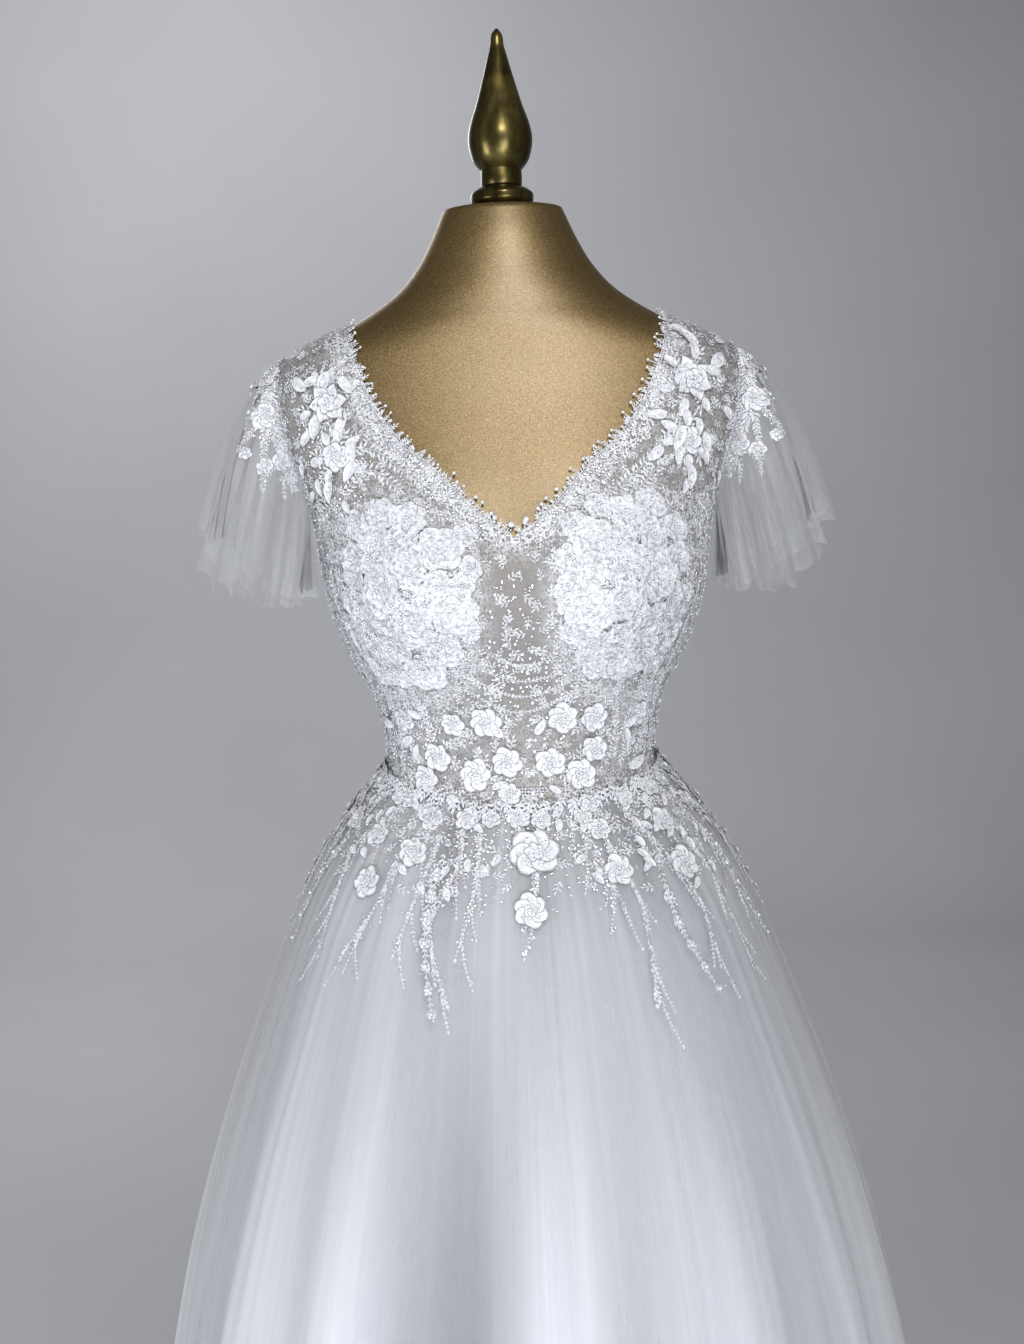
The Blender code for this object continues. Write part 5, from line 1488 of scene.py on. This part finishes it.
def laceBack():
    piece, own = "lace_back", backLace
    for side in sides.values():
        for degrees in own["vines"]:
            top = own["vineTop"] + 0.16 * ((degrees * 7) % 10) / 10
            swing = 0.04 * np.sin(np.arange(6) * 1.8 + degrees) * (degrees < 170)
            height = np.linspace(own["vineFoot"], top, 6)
            vine(piece, bodice, np.column_stack([side * radians(degrees) + swing, height]), "back")
        bandAlong(piece, bodice, (rimLines["back"] * (side, 1))[1:-2], -side)
        armholeVine(piece, side, 1, sleeve["back"], 10)
        turn = side * np.radians(np.linspace(94, 178, 16))
        vine(piece, bodice, np.column_stack([turn, seamHeight(turn) + 0.006]), "seam")
    turn, height, radius = roundPlaces(own["flowers"]).T
    for side in sides.values():
        bloom(piece, bodice, side * turn, height, radius)
        spin = chance.uniform(0, 2 * pi, len(turn))
        u, v = shifted(bodice, side * turn, height, np.sin(spin) * radius * 0.9, np.cos(spin) * radius * 0.9)
        lay(piece, bodice, "leaf", u, v, spin, radius * 1.1, 0.0004)
    for area in ("backLeft", "backRight"):
        sprigs(piece, bodice, *jittered(area, own["sprigStep"], backShare), own["sprig"])
        places = jittered(area, own["sequinStep"], backShare)
        sprinkle(piece, bodice, *places, "sequin", own["sequin"], 0.0006)
    finishKept(piece)


def laceEdges():
    for label, side in sides.items():
        for half, way in (("front", -1), ("back", 1)):
            piece = f"lace_edging_{half}_{label}"
            picotAlong(piece, bodice, (rimLines[half] * (side, 1))[:-1], way * side, f"lace_{half}")
            finishKept(piece, (f"edging_{half}_{label}",))


sleeveLace = {
    "vines": (("capHigh", 0.07), ("capLow", 0.17)),  # share down the sleeve of each
    "flowers": (  # degrees around, share down the sleeve in thousandths, radius in mm
        (22, 160, 15), (58, 220, 14), (95, 180, 12), (-20, 200, 14), (-52, 160, 12), (38, 360, 9),
        (76, 400, 9), (6, 320, 8), (52, 500, 7), (-34, 360, 8),
    ),
    "fronds": (  # degrees around and how far down each reaches
        (8, 0.34), (34, 0.42), (50, 0.52), (72, 0.5), (88, 0.4), (108, 0.34), (-12, 0.36), (-36, 0.42),
        (-66, 0.3),
    ),
}


def laceSleeves():
    # Lace of the sleeve's cap: vines beside the armhole, flowers on them and fronds that trail off them.
    around, down, radius = roundPlaces(sleeveLace["flowers"]).T
    for label, side in sides.items():
        piece, surface = f"lace_sleeve_{label}", overSleeve(side)
        turn = -side * np.radians(np.linspace(-62, 118, 16))
        for kind, share in sleeveLace["vines"]:
            vine(piece, surface, np.column_stack([turn, np.full(16, -share)]), kind)
        bloom(piece, surface, -side * around, -down, radius)
        for degrees, reach in sleeveLace["fronds"]:
            turn = -side * np.radians(degrees + 7 * np.sin(np.arange(4) * 1.6 + degrees))
            vine(piece, surface, np.column_stack([turn, -np.linspace(0.1, reach, 4)]), "sleeve")
        finishKept(piece)


skirtLace = {
    "fronds": (  # points down each, as degrees round and height in mm
        ((-20, 1010), (-19, 975), (-24, 935), (-17, 870)), ((-14, 1008), (-13, 965), (-16, 906)),
        ((-30, 1005), (-38.6, 987), (-40.2, 947), (-43.5, 922), (-46.5, 903)),
        ((-27, 1000), (-29, 955), (-31.5, 906)), ((-48, 1020), (-60, 985), (-58, 940), (-55.4, 894)),
        ((-60, 1030), (-74, 1000), (-76.7, 971), (-74, 925)), ((-80, 1030), (-84, 985), (-83, 930)),
        ((5, 1010), (3, 970), (1, 932)), ((14, 1010), (20, 992), (22, 964), (24, 940)),
        ((24, 1005), (28.9, 944), (28, 900), (26.3, 862)), ((36, 1010), (42, 985), (47.4, 934), (46, 881)),
        ((46, 1020), (56, 985), (57, 930), (57.4, 871)), ((60, 1030), (66, 995), (70.5, 963), (66, 922)),
        ((76, 1030), (80, 985), (82, 925)),
    ),
    "mirrored": (  # fronds that are on both sides
        ((97, 1030), (101, 985), (99, 925)), ((108, 1030), (112, 975), (108, 900)),
        ((120, 1030), (117, 985), (123, 930)), ((128, 1030), (132, 975), (128, 895)),
        ((146, 1030), (142, 985), (147, 930)), ((154, 1030), (158, 975), (154, 890)),
        ((168, 1030), (166, 985), (170, 935)),
    ),
    "middle": ((176, 1030), (178, 985), (175, 930)),
    "flowers": (  # degrees round, height and radius in mm
        (-2, 1012, 12), (24, 1000, 12), (-32, 1010, 12), (-52, 995, 13), (-70, 1004, 14), (-88, 1006, 13),
        (50, 1000, 14), (72, 1008, 13), (88, 1006, 14), (104, 1000, 15), (120, 1008, 13), (135, 998, 15),
        (150, 1006, 14), (165, 998, 15), (180, 1010, 14), (-104, 1000, 15), (-120, 1008, 13),
        (-135, 998, 15), (-150, 1006, 14), (-165, 998, 15), (172, 965, 12), (-112, 960, 12),
        (114, 958, 12),
    ),
    "hanging": (0.012, 0.019), "hangingStep": 0.034, "seamFlower": (0.009, 0.013), "seamStep": 0.21,
    "branches": (0.25, 0.75), "branchAside": (0.03, 0.07), "branchDown": (0.026, 0.046),
    "sprig": 0.013, "sprigStep": 0.0095, "sequin": 0.0014, "sequinStep": 0.0058,
    "stitch": 0.0045, "stitchStep": 0.009, "leaf": 0.015, "leafShare": 0.25,
}


def laceSkirt():
    piece, own = "lace_skirt", skirtLace
    # Stitches that hang over the waist seam from the net, on every side, with flowers among them.
    turn = np.arange(-pi, pi, own["hangingStep"])
    turn = turn + chance.uniform(-own["hangingStep"] / 2, own["hangingStep"] / 2, len(turn))
    lay(piece, bodice, "twig", turn, seamHeight(turn) + chance.uniform(0.002, 0.008, len(turn)),
        pi + chance.uniform(-0.7, 0.7, len(turn)), chance.uniform(*own["hanging"], len(turn)), 0.0048)
    turn = np.arange(-pi + 0.05, pi, own["seamStep"])
    turn = turn + chance.uniform(-0.08, 0.08, len(turn))
    bloom(piece, overSkirt, turn, seamHeight(turn) - 0.006 + chance.uniform(-0.006, 0.003, len(turn)),
          chance.uniform(*own["seamFlower"], len(turn)), lift=0.001)
    mirrored = [np.array(path) * (-1, 1) for path in own["mirrored"]]
    for path in (*own["fronds"], *own["mirrored"], *mirrored, own["middle"]):
        places = roundPlaces(path)
        vine(piece, overSkirt, places, "frond")
        for start, end in zip(places[:-1], places[1:]):
            for share in own["branches"]:
                foot = start * (1 - share) + end * share
                sideways = chance.choice((-1, 1)) * chance.uniform(*own["branchAside"])
                tip = foot + (sideways, -chance.uniform(*own["branchDown"]))
                vine(piece, overSkirt, (foot, (foot + tip) / 2 + (0, -0.003), tip), "branch")
    bloom(piece, overSkirt, *roundPlaces(own["flowers"]).T)
    u, v = jittered("skirtSprigs", own["sprigStep"], skirtShare)
    sprigs(piece, overSkirt, u, v, own["sprig"])
    places = jittered("skirtSequins", own["sequinStep"], skirtShare)
    sprinkle(piece, overSkirt, *places, "sequin", own["sequin"], 0.0004)
    places = jittered("skirtStitches", own["stitchStep"], skirtShare)
    lay(piece, overSkirt, "leaflet", *places, chance.uniform(0, 2 * pi, len(places[0])), own["stitch"])
    lean = chance.uniform(-0.9, 0.9, len(u))
    some = chance.random(len(u)) < own["leafShare"]
    lay(piece, overSkirt, "leaf", u[some], v[some], pi + lean[some], own["leaf"], 0.0004)
    finishKept(piece)


laceEdges()
laceFront()
laceBack()
laceSleeves()
laceSkirt()
print("lace made")
